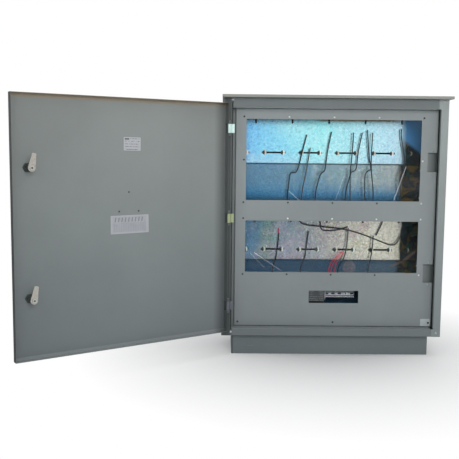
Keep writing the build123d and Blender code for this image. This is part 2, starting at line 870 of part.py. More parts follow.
def make_door_pan():
    """The door: one folded pan with a notch in its hinge wall at each hinge, and two lock holes."""
    door = tray(door_x0, door_x1, door_z0, door_z1, door_skin, door_depth)
    reach = hinge_block_half + hinge_notch_gap
    for z in hinge_zs:
        door -= facing(rect(door_x0, door_x0 + sheet + bend, z - reach, z + reach), door_inside, door_rim)
    for z in lock_zs:
        door -= facing(disc(lock_x, z, lock_barrel_radius + hole_play), door_skin, door_inside)
    for x, z in rivet_places():
        door -= facing(disc(x, z, rivet_radius + hole_play), door_skin, door_inside)
    return door


def rivet_places():
    """Three blind rivets in the middle of the door."""
    upper = (door_z0 + door_z1) / 2 + rivet_rise
    lower = upper - rivet_drop
    return [(rivet_x, upper), (rivet_x + rivet_spread, lower), (rivet_x - rivet_spread, lower)]


def make_rivet():
    """A blind rivet through the door skin; height 0 is the skin's inner face."""
    dome = rivet_head * 0.4
    return turned([(0, -sheet - dome), (rivet_head * 0.6, -sheet - dome), (rivet_head * 0.8, -sheet),
                   (rivet_radius, -sheet), (rivet_radius, 0), (rivet_head, 0),
                   (rivet_head * 0.7, dome), (0, dome)])


def make_hinge_block(z):
    """A block welded to the left post, with the knuckle that holds the pin."""
    plate = rect(hinge_x - hinge_block_left, hinge_x + hinge_block_right, front - hinge_plate, front)
    arm = rect(hinge_x - hinge_block_left, hinge_x + hinge_knuckle_radius, hinge_y, front)
    plan = plate + arm + disc(hinge_x, hinge_y, hinge_knuckle_radius)
    plan -= disc(hinge_x, hinge_y, hinge_pin_radius + hinge_play)
    return upright(plan, z - hinge_block_half, z + hinge_block_half)


def make_hinge_pin(z):
    """A headed pin through the block and both eyes."""
    reach = eye_high + hinge_pin_tail
    seat = eye_high + 4 * hinge_play
    pin = turned([(0, -reach), (hinge_pin_radius - hinge_pin_chamfer, -reach),
                  (hinge_pin_radius, hinge_pin_chamfer - reach),
                  (hinge_pin_radius, seat), (hinge_pin_head, seat),
                  (hinge_pin_head, seat + hinge_head_height), (0, seat + hinge_head_height)])
    return Pos(hinge_x, hinge_y, z) * pin


def make_hinge_eye(z0, z1):
    """An eye round the pin, welded to the hinge wall of the door."""
    r = hinge_eye_radius
    plan = disc(hinge_x, hinge_y, r) + rect(hinge_x, door_x0, hinge_y - r, hinge_y + r)
    return upright(plan - disc(hinge_x, hinge_y, hinge_pin_radius + hinge_play), z0, z1)


def make_lock_housing():
    """A long threaded barrel with a round flange; height 0 is the door's outer face."""
    bore = lock_plug_radius + lock_play
    pocket = lock_plug_head + lock_play
    end = -(cam_front - door_skin) + cam_gap
    seat = lock_flange - lock_plug_head_height - lock_play
    return turned([(bore, end), (lock_barrel_radius, end), (lock_barrel_radius, 0), (lock_flange_radius, 0),
                   (lock_flange_radius, lock_flange - lock_flange_chamfer),
                   (lock_flange_radius - lock_flange_chamfer, lock_flange),
                   (pocket, lock_flange), (pocket, seat), (bore, seat)])


def make_lock_plug():
    """The turning core: a round head with a triangular key post, a shaft, a square and a stud."""
    seat = lock_flange - lock_plug_head_height
    shoulder = -(cam_front - door_skin)
    stud_end = shoulder - cam_thickness - cam_nut_height - cam_stud_end
    core = turned([(0, shoulder), (lock_plug_radius, shoulder), (lock_plug_radius, seat),
                   (lock_plug_head, seat), (lock_plug_head, lock_flange), (0, lock_flange)])
    ring = Circle(lock_socket_radius) - RegularPolygon(lock_triangle, 3)
    core -= upright(ring, lock_flange - lock_socket_depth, lock_flange)
    core += upright(Rot(Z=cam_lean) * Rectangle(cam_square, cam_square), shoulder - cam_thickness, shoulder)
    return core + upright(Circle(cam_stud_radius), stud_end, shoulder - cam_thickness)


def make_cam():
    """The cam's outline: a round hub drawn out to a narrower, round-cornered tip."""
    tip = RectangleRounded(cam_tip_width, cam_tip_width, cam_tip_corner)
    tip = Pos(0, cam_length - cam_tip_width / 2) * tip
    outline = make_hull(Circle(cam_hub_radius).edges() + tip.edges())
    hole = Rectangle(cam_square + 2 * nut_play, cam_square + 2 * nut_play)
    return Rot(Z=cam_lean) * (outline - hole)


def wire(name, radius, points):
    """A single stiff wire: straight runs joined by arcs as large as the runs allow."""
    path_points = [Vector(*point) for point in points]
    radii = []
    for a, b, c in zip(path_points, path_points[1:], path_points[2:]):
        turn = math.radians((b - a).get_angle(c - b))
        run = min((b - a).length, (c - b).length)
        radii.append(0.45 * run / math.tan(turn / 2))
    path = FilletPolyline(*path_points, radius=radii)
    section = Plane(origin=path @ 0, z_dir=path % 0) * Circle(radius)
    solid = sweep(section, path)
    ratio = solid.volume / (math.pi * radius ** 2 * path.length)
    print(f"{name}: length {path.length:.1f}, smallest arc {min(radii):.1f}, volume ratio {ratio:.5f}")
    save(name, [solid])


# The wires stand in front of the meter plates. Each starts on a finger of a duct.
wire_radius = 2.2
red_radius = 1.2
red_wires = ["wire_p", "wire_q", "wire_r"]
upper_top = upper_duct_z0 + duct_height
lower_top = lower_duct_z0 + duct_height
under = upper_duct_z0
wires = {
    "wire_a": [(-163, 20, upper_top), (-163, 20, 622), (-159, 20, 656), (-157, 20, 680), (-156, 19, 696),
               (-150, 19, 707), (-140, 19, 707), (-131, 19, 706), (-125, 18, 717), (-118, 18, 739),
               (-110, 18, 777), (-100, 18, 818), (-90, 18, 858)],
    "wire_b": [(-107, 11, upper_top), (-107, 11, 628), (-98, 11, 672), (-90, 11, 714), (-83, 12, 760),
               (-76, 12, 806)],
    "wire_c": [(-51, 20, upper_top), (-51, 20, 624), (-44, 20, 656), (-38, 20, 682), (-33, 19, 699),
               (-26, 19, 709), (-16, 18, 711), (-13, 18, 727), (-10, 18, 756), (-5, 18, 797), (2, 18, 838),
               (9, 18, 870)],
    "wire_d": [(88, 11, upper_top), (88, 11, 634), (86, 11, 682), (88, 11, 736), (92, 11, 788), (95, 12, 838),
               (95, 12, 868)],
    "wire_e": [(70, 20, upper_top), (70, 20, 624), (77, 20, 658), (84, 20, 684), (88, 19, 702), (95, 19, 713),
               (106, 18, 715), (112, 18, 728), (114, 18, 752), (117, 18, 790), (124, 18, 830),
               (132, 18, 868)],
    "wire_f": [(149, 20, upper_top), (149, 20, 626), (147, 20, 662), (147, 20, 688), (149, 19, 706),
               (158, 19, 716), (169, 18, 719), (169, 18, 735), (163, 18, 762), (158, 18, 803), (155, 18, 845),
               (152, 18, 879)],
    "wire_g": [(181, 11, upper_top), (181, 11, 636), (174, 11, 684), (169, 11, 736), (169, 11, 788),
               (171, 11, 836), (172, 11, 868)],
    "wire_h": [(294, 20, upper_top), (294, 20, 624), (289, 20, 658), (288, 20, 686), (293, 19, 708),
               (303, 18, 728), (306, 18, 752), (301, 18, 786), (293, 18, 824), (286, 18, 862),
               (288, 18, 884)],
    "wire_i": [(-219, 20, lower_top), (-219, 20, 320), (-213, 20, 338), (-206, 20, 358), (-201, 20, 394),
               (-196, 20, 438), (-195, 20, 480)],
    "wire_j": [(-104, 20, lower_top), (-104, 20, 322), (-98, 20, 341), (-88, 20, 360), (-83, 20, 394),
               (-80, 20, 432), (-75, 20, 470)],
    "wire_k": [(46, 11, lower_top), (46, 11, 322), (55, 11, 340), (68, 11, 358), (76, 11, 386), (81, 11, 422),
               (83, 11, 456), (84, 11, 486)],
    "wire_l": [(168, 11, lower_top), (168, 11, 322), (175, 11, 348), (181, 11, 380), (185, 11, 418),
               (186, 11, 455)],
    "wire_m": [(-117, 20, under), (-117, 20, 521), (-108, 20, 504), (-88, 20, 496), (-56, 20, 492),
               (-10, 20, 488), (40, 20, 483), (90, 20, 475), (140, 20, 461), (190, 20, 442), (235, 20, 424),
               (266, 20, 414), (285, 20, 424), (298, 20, 450), (311, 20, 480), (318, 20, 514),
               (318, 20, under)],
    "wire_n": [(-29, 26, under), (-29, 26, 522), (-27, 26, 498), (-24, 26, 480), (-12, 26, 472),
               (12, 26, 472), (42, 26, 475), (66, 26, 481), (84, 26, 489)],
    "wire_o": [(228, 24, under), (228, 24, 520), (219, 24, 496), (209, 24, 474), (200, 24, 455)],
    "wire_p": [(8, 6, lower_top), (8, 6, 316), (13, 6, 334), (23, 5, 354), (40, 5, 372), (62, 6, 390)],
    "wire_q": [(17, 6, lower_top), (17, 6, 317), (24, 5, 336), (34, 4, 356), (48, 3, 373), (64, 2, 389)],
    "wire_r": [(33, 6, lower_top), (33, 6, 316), (36, 5, 336), (44, 4, 355), (56, 2, 371), (70, 0, 384)],
}

save("plinth", [make_plinth()])
save("floor_pan", [make_floor_pan()])
save("gland_plate", [make_gland_plate()])
grommet = make_grommet()
save("cable_grommets", [Pos(x, gland_middle, floor_face) * grommet for x in grommet_places()])
floor_bolt = hex_bolt(bolt_radius, bolt_flats, bolt_head, plinth_sheet + gland_sheet + sheet + bolt_nut)
floor_nut = hex_nut(bolt_radius, bolt_flats, bolt_nut)
floor_bolts = [Pos(x, y, floor_face) * floor_bolt for x, y in plinth_bolt_places()]
floor_bolts += [Pos(x, y, plinth_height - plinth_sheet) * floor_nut for x, y in plinth_bolt_places()]
floor_bolts += [Pos(x, y, floor_face + gland_sheet) * floor_bolt for x, y in gland_bolt_places()]
floor_bolts += [Pos(x, y, body_low) * floor_nut for x, y in gland_bolt_places()]
save("floor_bolts", floor_bolts)
save("body_wrapper", [make_body_wrapper()])
save("top_pan", [make_top_pan()])
save("roof_lid", [make_roof_lid()])
roof_bolt = Rot(X=180) * hex_bolt(bolt_radius, bolt_flats, bolt_head, 2 * sheet + bolt_nut)
roof_nut = Rot(X=180) * hex_nut(bolt_radius, bolt_flats, bolt_nut)
roof_bolts = [Pos(x, y, roof_face) * roof_bolt for x, y in roof_bolt_places()]
roof_bolts += [Pos(x, y, body_high + sheet) * roof_nut for x, y in roof_bolt_places()]
save("roof_bolts", roof_bolts)
corner_bolt = domed_screw(corner_bolt_radius, corner_bolt_head, corner_bolt_dome,
                          2 * sheet + corner_nut_height)
corner_nut = hex_nut(corner_bolt_radius, corner_nut_flats, corner_nut_height)
corner_places = [(tab[4], tab[5]) for tab in corner_tabs()]
corner_bolts = [to_front(x, front, z) * corner_bolt for x, z in corner_places]
corner_bolts += [to_front(x, front + 2 * sheet, z) * corner_nut for x, z in corner_places]
save("corner_bolts", corner_bolts)

save("inner_cover", [make_cover()])
save("latch_pockets", [make_latch_pocket(*latch) for latch in latches])
rail_screw = domed_screw(cover_screw_radius, cover_screw_head, cover_screw_dome, cover_fold + 3 * sheet)
pocket_screw = domed_screw(cover_screw_radius, cover_screw_head, cover_screw_dome, 4 * sheet)
cover_screws = [to_front(x, cover_face, z) * rail_screw for x, z in rail_screw_places()]
cover_screws += [to_front(x, cover_face, z) * pocket_screw for x, z in pocket_screw_places()]
save("cover_screws", cover_screws)
save("cover_rails", [make_cover_rail(-1), make_cover_rail(1), make_cross_rail()])
save("window_pane_upper", [make_pane(upper_window_z0, upper_window_z1)])
save("window_pane_lower", [make_pane(lower_window_z0, lower_window_z1)])
pane_screw = domed_screw(pane_screw_radius, pane_screw_head, pane_screw_dome, sheet + pane_thickness)
save("pane_screws", [to_front(x, cover_face, z) * pane_screw for x, z in pane_screw_places()])

save("mounting_panel", [make_mounting_panel()])
save("panel_rails", [make_panel_rail(-1), make_panel_rail(1)])
panel_screw = domed_screw(panel_screw_radius, panel_screw_head, panel_screw_dome, 4 * sheet)
panel_screws = [to_front(x, panel_front, z) * panel_screw for x, z in panel_screw_places()]
panel_screws += [to_back(x, panel_back, z) * panel_screw for x, z in plate_screw_places()]
panel_screws += [to_front(x, panel_front - bracket_sheet, hat_z) * panel_screw for x in bracket_screw_x()]
save("panel_screws", panel_screws)
save("meter_plate_upper", [make_meter_plate(upper_plate_z0)])
save("meter_plate_lower", [make_meter_plate(lower_plate_z0)])
bolt_length = sheet + meter_nut_flange_height + meter_nut_height + meter_bolt_end
meter_bolt = extrude(Circle(meter_bolt_radius), bolt_length)
meter_bolt += extrude(Rectangle(meter_slot - 2 * hole_play, meter_bolt_head_width), -meter_bolt_head)
meter_nut = extrude(hexagon(meter_nut_flats), meter_nut_flange_height + meter_nut_height)
meter_nut += extrude(Circle(meter_nut_flange), meter_nut_flange_height)
meter_nut -= extrude(Circle(meter_bolt_radius + nut_play), meter_nut_flange_height + meter_nut_height)
meter_places = [(x, z0 + meter_bolt_rise) for z0 in (lower_plate_z0, upper_plate_z0) for x in meter_bolt_x]
save("meter_bolts", [to_front(x, plate_face + sheet, z) * meter_bolt for x, z in meter_places])
save("meter_nuts", [to_front(x, plate_face, z) * meter_nut for x, z in meter_places])
save("wire_ducts", [make_wire_duct(lower_duct_z0, panel_front), make_wire_duct(upper_duct_z0, plate_face)])
save("duct_lids", [make_duct_lid(lower_duct_z0, panel_front), make_duct_lid(upper_duct_z0, plate_face)])

save("top_hat_rail", [make_hat_rail()])
save("rail_brackets", [make_rail_bracket(x) for x in bracket_screw_x()])
save("rail_module", [make_rail_module()])
save("end_clamp", [make_end_clamp()])
for name, points in wires.items():
    wire(name, red_radius if name in red_wires else wire_radius, points)

save("door_pan", [swung(make_door_pan())])
rivet = make_rivet()
save("door_rivets", [swung(to_back(x, door_inside, z) * rivet) for x, z in rivet_places()])
save("hinge_blocks", [make_hinge_block(z) for z in hinge_zs])
save("hinge_pins", [make_hinge_pin(z) for z in hinge_zs])
eyes = [make_hinge_eye(z + eye_low, z + eye_high) for z in hinge_zs]
eyes += [make_hinge_eye(z - eye_high, z - eye_low) for z in hinge_zs]
save("hinge_eyes", [swung(eye) for eye in eyes])
housing = make_lock_housing()
lock_nut = hex_nut(lock_barrel_radius, lock_nut_flats, lock_nut_height)
housings = [to_front(lock_x, door_skin, z) * housing for z in lock_zs]
housings += [to_front(lock_x, door_inside, z) * lock_nut for z in lock_zs]
save("lock_housings", [swung(piece) for piece in housings])
plug = make_lock_plug()
cam = facing(make_cam(), cam_front, cam_front + cam_thickness)
cam_nut = hex_nut(cam_stud_radius, cam_nut_flats, cam_nut_height)
for name, z in zip(("lower", "upper"), lock_zs):
    save(f"lock_plug_{name}", [swung(to_front(lock_x, door_skin, z) * plug)])
    save(f"lock_cam_{name}", [swung(Pos(lock_x, 0, z) * cam)])
    save(f"cam_nut_{name}", [swung(to_front(lock_x, cam_front + cam_thickness, z) * cam_nut)])
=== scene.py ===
"""A roadside utility cabinet with its door open, dressed over the solids of its frame."""
import math

import bpy
import numpy as np
from mathutils import Matrix, Vector


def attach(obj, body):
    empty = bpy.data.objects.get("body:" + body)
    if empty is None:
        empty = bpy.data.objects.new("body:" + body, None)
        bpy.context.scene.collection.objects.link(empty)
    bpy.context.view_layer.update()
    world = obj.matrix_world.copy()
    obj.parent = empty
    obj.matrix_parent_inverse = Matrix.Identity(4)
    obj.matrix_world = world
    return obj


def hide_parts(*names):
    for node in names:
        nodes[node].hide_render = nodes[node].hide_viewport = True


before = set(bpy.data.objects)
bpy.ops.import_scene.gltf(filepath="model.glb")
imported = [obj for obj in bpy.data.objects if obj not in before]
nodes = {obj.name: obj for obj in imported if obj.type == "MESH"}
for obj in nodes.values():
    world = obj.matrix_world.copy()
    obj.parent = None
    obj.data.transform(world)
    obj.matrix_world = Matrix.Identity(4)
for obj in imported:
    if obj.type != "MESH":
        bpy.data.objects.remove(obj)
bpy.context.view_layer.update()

# Places and sizes of the cabinet that the finishes and the added pieces need, in metres
MM = 0.001
DOOR_ANGLE = math.radians(-147)  # from the shut door to the open one
HINGE = Vector((-0.401, -0.163, 0))
SWING = Matrix.Translation(HINGE) @ Matrix.Rotation(DOOR_ANGLE, 4, "Z") @ Matrix.Translation(-HINGE)
DOOR_FACE = -0.1755  # the shut door's inner face
COVER_FACE = -0.109
MODULE_FACE = -0.106
METER_PITCH = 0.1465  # from the middle of one pair of meter bolts to the next
METER_SPREAD = 0.037  # from the middle of a pair to each of its bolts
METERS = [METER_PITCH * step for step in (-2, -1, 0, 1, 2)]
HANG_SLOT = 0.5075  # height of the hang slots' lower ends in the lower meter plate
WIRE_RADIUS = 0.0022
RED_RADIUS = 0.0012

# Where a band of tone starts and is full, in metres
DOOR_INNER_SIDE = (-0.0137, -0.0132)  # behind the hinge pins' axis, square to the door
DOOR_OUTER_EDGE = (0.8216, 0.8221)  # from the hinge pins' axis, along the door
DOOR_TOP_RETURN = (0.951, 0.957)
DOOR_FOOT_RETURN = (0.113, 0.110)
RAIL_RETURN = (-0.1495, -0.1475)
METER_NUT_SIDE = (0.0095, 0.0075)  # right of each meter bolt's axis, where the painted highlight ends
FLOOR_SHADE = (0.18, 1.0)  # from the middle of the floor, where it starts to turn plain white

PLATING = 0.92  # how metallic a zinc-plated sheet is


class Shade:
    """A value in a node tree. Arithmetic on it adds Math nodes to that tree."""

    def __init__(self, graph, socket):
        self.graph, self.socket = graph, socket

    def beside(self, name):
        """Another output of the same node."""
        return Shade(self.graph, self.socket.node.outputs[name])

    def maths(self, operation, *values, clamp=False):
        return self.graph.node("ShaderNodeMath", {"operation": operation, "use_clamp": clamp},
                               dict(enumerate(values)))

    def __add__(self, other):
        return self.maths("ADD", self, other)

    def __sub__(self, other):
        return self.maths("SUBTRACT", self, other)

    def __rsub__(self, other):
        return self.maths("SUBTRACT", other, self)

    def __mul__(self, other):
        return self.maths("MULTIPLY", self, other)

    def __truediv__(self, other):
        return self.maths("DIVIDE", self, other)

    def __pow__(self, power):
        return self.maths("POWER", self, power)

    __radd__ = __add__
    __rmul__ = __mul__

    def larger(self, other):
        return self.maths("MAXIMUM", self, other)

    def size(self):
        return self.maths("ABSOLUTE", self)

    def sign(self):
        return self.maths("SIGN", self)

    def part(self):
        """What is left over after the whole number."""
        return self.maths("FRACT", self)

    def rise(self, start, end):
        """0 at start and 1 at end, with an even slope between them; start may be the larger one."""
        return self.maths("MULTIPLY", self - start, 1 / (end - start), clamp=True)

    def band(self, low, high, soft=0.01):
        """1 between two values and 0 outside them."""
        return self.rise(low - soft, low + soft) * self.rise(high + soft, high - soft)


class Graph:
    """A node tree, and the one method that adds a node to it."""

    def __init__(self, tree):
        self.tree = tree

    def node(self, kind, settings=None, values=None, output=0):
        """Adds a node: settings first, such as a ramp's stops, then values or links for its sockets."""
        made = self.tree.nodes.new(kind)
        for name, value in (settings or {}).items():
            if name == "stops":
                ramp = made.color_ramp
                while len(ramp.elements) < len(value):
                    ramp.elements.new(0.5)
                for element, (position, color) in zip(ramp.elements, value):
                    element.position, element.color = position, (*color, 1)
            else:
                setattr(made, name, value)
        for name, value in (values or {}).items():
            self.join(value, made.inputs[name])
        return Shade(self, made.outputs[output])

    def join(self, value, socket):
        if isinstance(value, Shade):
            self.tree.links.new(value.socket, socket)
        elif socket.type == "RGBA" and len(value) == 3:
            socket.default_value = (*value, 1)
        else:
            socket.default_value = value


class Finish(Graph):
    """A material with one principled shader, and the nodes that vary it over Object coordinates."""

    def __init__(self, name, **fixed):
        self.material = bpy.data.materials.new(name)
        self.material.use_nodes = True
        super().__init__(self.material.node_tree)
        self.shader = next(n for n in self.tree.nodes if n.type == "BSDF_PRINCIPLED")
        for socket, value in fixed.items():
            self.shader.inputs[socket.replace("_", " ")].default_value = value
        self.place = self.node("ShaderNodeTexCoord", output="Object")
        split = self.node("ShaderNodeSeparateXYZ", {}, {0: self.place})
        self.x, self.y, self.z = (split.beside(axis) for axis in range(3))

    def vary(self, socket, value):
        self.join(value, self.shader.inputs[socket])

    def stretched(self, scale, turn=(0, 0, 0)):
        return self.node("ShaderNodeMapping", {}, {"Vector": self.place, "Scale": scale, "Rotation": turn})

    def noise(self, scale, detail=4.0, roughness=0.55, place=None, distortion=0.0):
        return self.node("ShaderNodeTexNoise", {},
                         {"Vector": place or self.place, "Scale": scale, "Detail": detail,
                          "Roughness": roughness, "Distortion": distortion})

    def mix(self, factor, first, second, blend="MIX"):
        return self.node("ShaderNodeMix", {"data_type": "RGBA", "blend_type": blend},
                         {0: factor, 6: first, 7: second}, output=2)

    def near(self, x, z, radius):
        """1 within a radius of a place seen from the front, and 0 outside it."""
        return ((self.x - x) ** 2 + (self.z - z) ** 2).rise(radius ** 2, (0.8 * radius) ** 2)

    def line(self, x0, z0, x1, z1, width):
        """1 along a straight line from one place to another, seen from the front, in millimetres."""
        fade = 6
        length = math.hypot(x1 - x0, z1 - z0)
        ax, az = (x1 - x0) / length, (z1 - z0) / length
        dx, dz = self.x / MM - x0, self.z / MM - z0
        along = dx * ax + dz * az
        aside = (dx * az - dz * ax).size()
        return aside.rise(0.7 * width, 0.3 * width) * along.rise(0, fade) * along.rise(length, length - fade)

    def bump(self, height, distance, strength):
        self.vary("Normal", self.node("ShaderNodeBump", {},
                                      {"Height": height, "Distance": distance, "Strength": strength}))


def toned(color, shares, more=0.0):
    """A colour times one share, or times one for each of red, green and blue."""
    return np.minimum(1, np.multiply(color, shares) + more).tolist()


def door_strips(finish, tone):
    """The door's straw-coloured top return, its foot return painted pale as painted light, and the outer side
    of its free edge painted dark as painted shade.
    """
    east, north = finish.x - HINGE.x, finish.y - HINGE.y
    across = east * math.cos(DOOR_ANGLE) + north * math.sin(DOOR_ANGLE)
    inside = (north * math.cos(DOOR_ANGLE) - east * math.sin(DOOR_ANGLE)).rise(*DOOR_INNER_SIDE)
    tone = finish.mix(inside * finish.z.rise(*DOOR_TOP_RETURN) * 0.75, tone, [0.275, 0.222, 0.155])
    # Painted light: the foot return made paler
    tone = finish.mix(inside * finish.z.rise(*DOOR_FOOT_RETURN) * 0.3, tone, [0.38, 0.41, 0.41])
    # Painted shade: the outer side of the free edge made nearly black
    return finish.mix(across.rise(*DOOR_OUTER_EDGE), tone, [0.012, 0.015, 0.016])


def paint(name, color, worn=0.0, grime=0.0, warm=0.0, fade=0.16, corners=(), shade_sides=(), rims=0.0,
          door=False):
    """Satin enamel over steel: soft cloudy tone, fine orange peel, dust, and painted shade near the ground.

    A side is where a band of painted shade starts and is full, from left to right, and how dark it is. A
    corner is a place seen from above, a radius and how dark the painted shade is around it. Rims tell how
    far a frame rail's returns differ: the upper rail's is painted paler as painted light and the lower
    rail's darker as painted shade."""
    finish = Finish(name, Specular_IOR_Level=0.42)
    cloud = finish.noise(2.3, 5.0, 0.6)
    mottle = finish.noise(38, 4.0, 0.65)
    runs = finish.noise(1.0, 5.0, 0.6, finish.stretched((46, 46, 2.2)))
    tone = finish.mix(cloud.rise(0.35, 0.68), toned(color, 0.93), toned(color, 1.07))
    tone = finish.mix(mottle.rise(0.45, 0.75) * 0.2, tone, toned(color, (1.13, 1.06, 1)))
    tone = finish.mix(runs.rise(0.58, 0.8) * 0.14, tone, toned(color, 0.72))
    if warm:
        tone = finish.mix(finish.z.rise(0.35, 1.0) * warm, tone, toned(color, (1.16, 1.02, 0.86)))
    # Painted shade: darker and bluer towards the ground, by the share fade
    tone = finish.mix(finish.z.rise(0.75, 0.1) * fade, tone, toned(color, (0.1, 0.16, 0.22)))
    # Painted shade in bands from left to right
    for start, end, depth in shade_sides:
        tone = finish.mix(finish.x.rise(start, end) * depth, tone, [0.03, 0.04, 0.04])
    if door:
        tone = door_strips(finish, tone)
    specks = finish.noise(420, 2.0, 0.5).rise(0.73, 0.79) * finish.noise(9, 3.0).rise(0.5, 0.7)
    tone = finish.mix(specks * 0.5, tone, [0.5, 0.48, 0.43])
    # Painted shade around each corner place
    for x, y, radius, depth in corners:
        away = ((finish.x - x) ** 2 + (finish.y - y) ** 2) ** 0.5
        tone = finish.mix(away.rise(radius, 0.25 * radius) * depth, tone, [0.020, 0.025, 0.026])
    # Painted light on the upper rail's return and painted shade on the lower rail's
    if rims:
        inward = finish.y.rise(*RAIL_RETURN)
        tone = finish.mix(inward * finish.z.rise(0.5, 0.6) * rims, tone, [0.62, 0.66, 0.66])
        tone = finish.mix(inward * finish.z.rise(0.5, 0.4) * rims, tone, [0.225, 0.25, 0.255])
    if grime:
        low = finish.z.rise(0.16, 0.0) * finish.noise(24, 5.0, 0.7).rise(0.25, 0.75) * grime
        tone = finish.mix(low, tone, [0.12, 0.125, 0.115])
    if worn:
        grain = finish.stretched((16, 90, 150), (0.2, 0.5, 0.3))
        scratches = finish.noise(1.0, 3.0, 0.4, grain).rise(0.71, 0.76)
        tone = finish.mix(scratches * finish.noise(6).rise(0.52, 0.66) * worn, tone, [0.36, 0.38, 0.38])
    finish.vary("Base Color", tone)
    finish.vary("Roughness", 0.42 + 0.16 * cloud + 0.1 * mottle)
    finish.bump(finish.noise(780, 2.0, 0.5) + 1.6 * finish.noise(210, 3.0, 0.5), 0.00022, 0.35)
    return finish.material


def zinc_grain(finish, tone, contrast=1.0):
    """Crystalline grain and drag marks over a zinc tint, with their roughness and relief."""
    flake = finish.noise(165, 5.0, 0.72)
    crystal = finish.node("ShaderNodeTexVoronoi", {"feature": "F1"},
                          {"Vector": finish.place, "Scale": 240}, output=1)
    drag = finish.noise(1.0, 4.0, 0.6, finish.stretched((26, 26, 5), (0, 0.55, 0)))
    tone = finish.mix(0.12 * contrast, tone, crystal, "OVERLAY")
    tone = finish.mix(flake.rise(0.50, 0.66) * 0.4 * contrast, tone, [0.9, 0.97, 1.0], "SOFT_LIGHT")
    tone = finish.mix(flake.rise(0.48, 0.34) * 0.4 * contrast, tone, [0.30, 0.33, 0.5], "MULTIPLY")
    tone = finish.mix(drag.rise(0.52, 0.7) * 0.30, tone, [0.92, 0.97, 1.0], "SOFT_LIGHT")
    finish.vary("Roughness", 0.17 + 0.16 * flake)
    finish.bump(flake + 0.4 * drag, 0.00016, 0.3)
    return tone


def plated(name, stops):
    """Passivated zinc whose tint drifts from left to right through the given stops."""
    finish = Finish(name, Metallic=PLATING, Specular_IOR_Level=0.25)
    drift = finish.noise(4.5, 4.0, 0.6, distortion=0.8)
    along = finish.x.rise(-0.36, 0.36) + 0.16 * (drift - 0.5)
    tone = finish.node("ShaderNodeValToRGB", {"stops": stops}, {0: along})
    return finish, tone, drift


def dark_end(finish, tone, edge, width, blue_above=False, dull=0.0):
    """The far right of a plate, dull and in painted shade: brown and green blotches painted as reflections,
    and blue above them if asked.
    """
    wander = finish.x + 0.03 * (finish.noise(9, 3.0, 0.6) - 0.5)
    fringe = wander.rise(edge, edge + width)
    blotch = finish.noise(24, 4.0, 0.65, distortion=0.9)
    second = finish.noise(31, 4.0, 0.6, distortion=0.6)
    # Painted shade near black, with brown and green blotches painted as reflections
    deep = finish.mix(blotch.rise(0.50, 0.60), [0.008, 0.014, 0.018], [0.125, 0.080, 0.012])
    deep = finish.mix(second.rise(0.52, 0.62), deep, [0.008, 0.056, 0.040])
    if blue_above:
        above = (finish.z + finish.x * 0.75).rise(1.058, 1.076)
        deep = finish.mix(above, deep, [0.078, 0.29, 0.59])
    finish.vary("Metallic", PLATING - 0.75 * fringe.larger(dull))
    return finish.mix(fringe, tone, deep)


def bright(name, color, roughness=0.3, metallic=0.9, dark_at=(), spots=1.0):
    """Small zinc-plated steel: turning marks, a mottled tint, and heads gone dark at the named places."""
    finish = Finish(name, Metallic=metallic)
    mottle = finish.noise(260, 4.0, 0.7)
    rub = finish.noise(1.0, 3.0, 0.5, finish.stretched((300, 300, 1400)))
    tone = finish.mix(mottle.rise(0.35, 0.7), toned(color, 0.72), color)
    tone = finish.mix(finish.noise(90, 3.0).rise(0.58, 0.7) * 0.5 * spots, tone, [0.30, 0.24, 0.15])
    for x, z in dark_at:
        tone = finish.mix(finish.near(x * MM, z * MM, 0.008) * 0.95, tone, [0.022, 0.026, 0.028])
    finish.vary("Base Color", tone)
    finish.vary("Roughness", roughness + 0.2 * mottle)
    finish.bump(rub + mottle, 0.00008, 0.4)
    return finish.material


def meter_fixing(name, split):
    """Nuts and washers of the meter plates: painted shade up to the split, and a painted highlight to the
    right of it.
    """
    finish = Finish(name, Metallic=0.85)
    cell = finish.x / METER_PITCH + 0.5
    offset = (cell.part() - 0.5) * METER_PITCH
    across = offset - METER_SPREAD * offset.sign()
    mottle = finish.noise(300, 4.0, 0.7)
    uneven = across + 0.010 * (finish.noise(11, 2.0, 0.5) - 0.5)
    lit = uneven.rise(split, split + 0.0015) * uneven.rise(*METER_NUT_SIDE)
    right = offset.rise(-0.01, 0.01)
    # Painted highlight right of each bolt, painted shade elsewhere
    pale = finish.mix(right, [0.95, 0.98, 0.95], [0.62, 0.62, 0.54])
    tone = finish.mix(lit, [0.010, 0.030, 0.032], pale)
    tone = finish.mix(mottle.rise(0.52, 0.66) * 0.4, tone, [0.30, 0.27, 0.19])
    finish.vary("Base Color", tone)
    finish.vary("Roughness", 0.2 + 0.2 * mottle)
    finish.bump(mottle, 0.00008, 0.4)
    return finish.material


def plastic(name, color, roughness=0.5, gloss=0.4):
    """Moulded plastic: faint flow marks, fine spark-eroded grain and dust."""
    finish = Finish(name, Specular_IOR_Level=gloss)
    flow = finish.noise(14, 4.0, 0.6)
    tone = finish.mix(flow.rise(0.35, 0.7), toned(color, 0.85), toned(color, 1.12, 0.004))
    dust = finish.noise(300, 3.0, 0.6).rise(0.62, 0.75) * 0.25
    finish.vary("Base Color", finish.mix(dust, tone, [0.30, 0.30, 0.28]))
    finish.vary("Roughness", roughness + 0.18 * flow)
    finish.bump(finish.noise(1500, 2.0, 0.5), 0.00006, 0.5)
    return finish.material


def clear_sheet(scratches, width=2.4):
    """A clear cast sheet: nearly see-through, with a faint mirror, smears of dust and long fine scratches.

    A scratch runs from one place to another, seen from the front in millimetres, and has a strength."""
    finish = Finish("clear_sheet", Metallic=1.0, IOR=1.49)
    smear = finish.noise(1.0, 5.0, 0.6, finish.stretched((3.2, 3.2, 7.5), (0, 0.6, 0)))
    line = sum(finish.line(*scratch, width) * strength for *scratch, strength in scratches)
    finish.vary("Base Color", finish.mix(smear.rise(0.3, 0.75), [0.80, 0.90, 0.96], [0.95, 0.97, 1.0]))
    finish.vary("Roughness", 0.03 + 0.10 * smear.rise(0.45, 0.8))
    finish.vary("Alpha", 0.008 + 0.03 * smear.rise(0.5, 0.85) + line)
    return finish.material


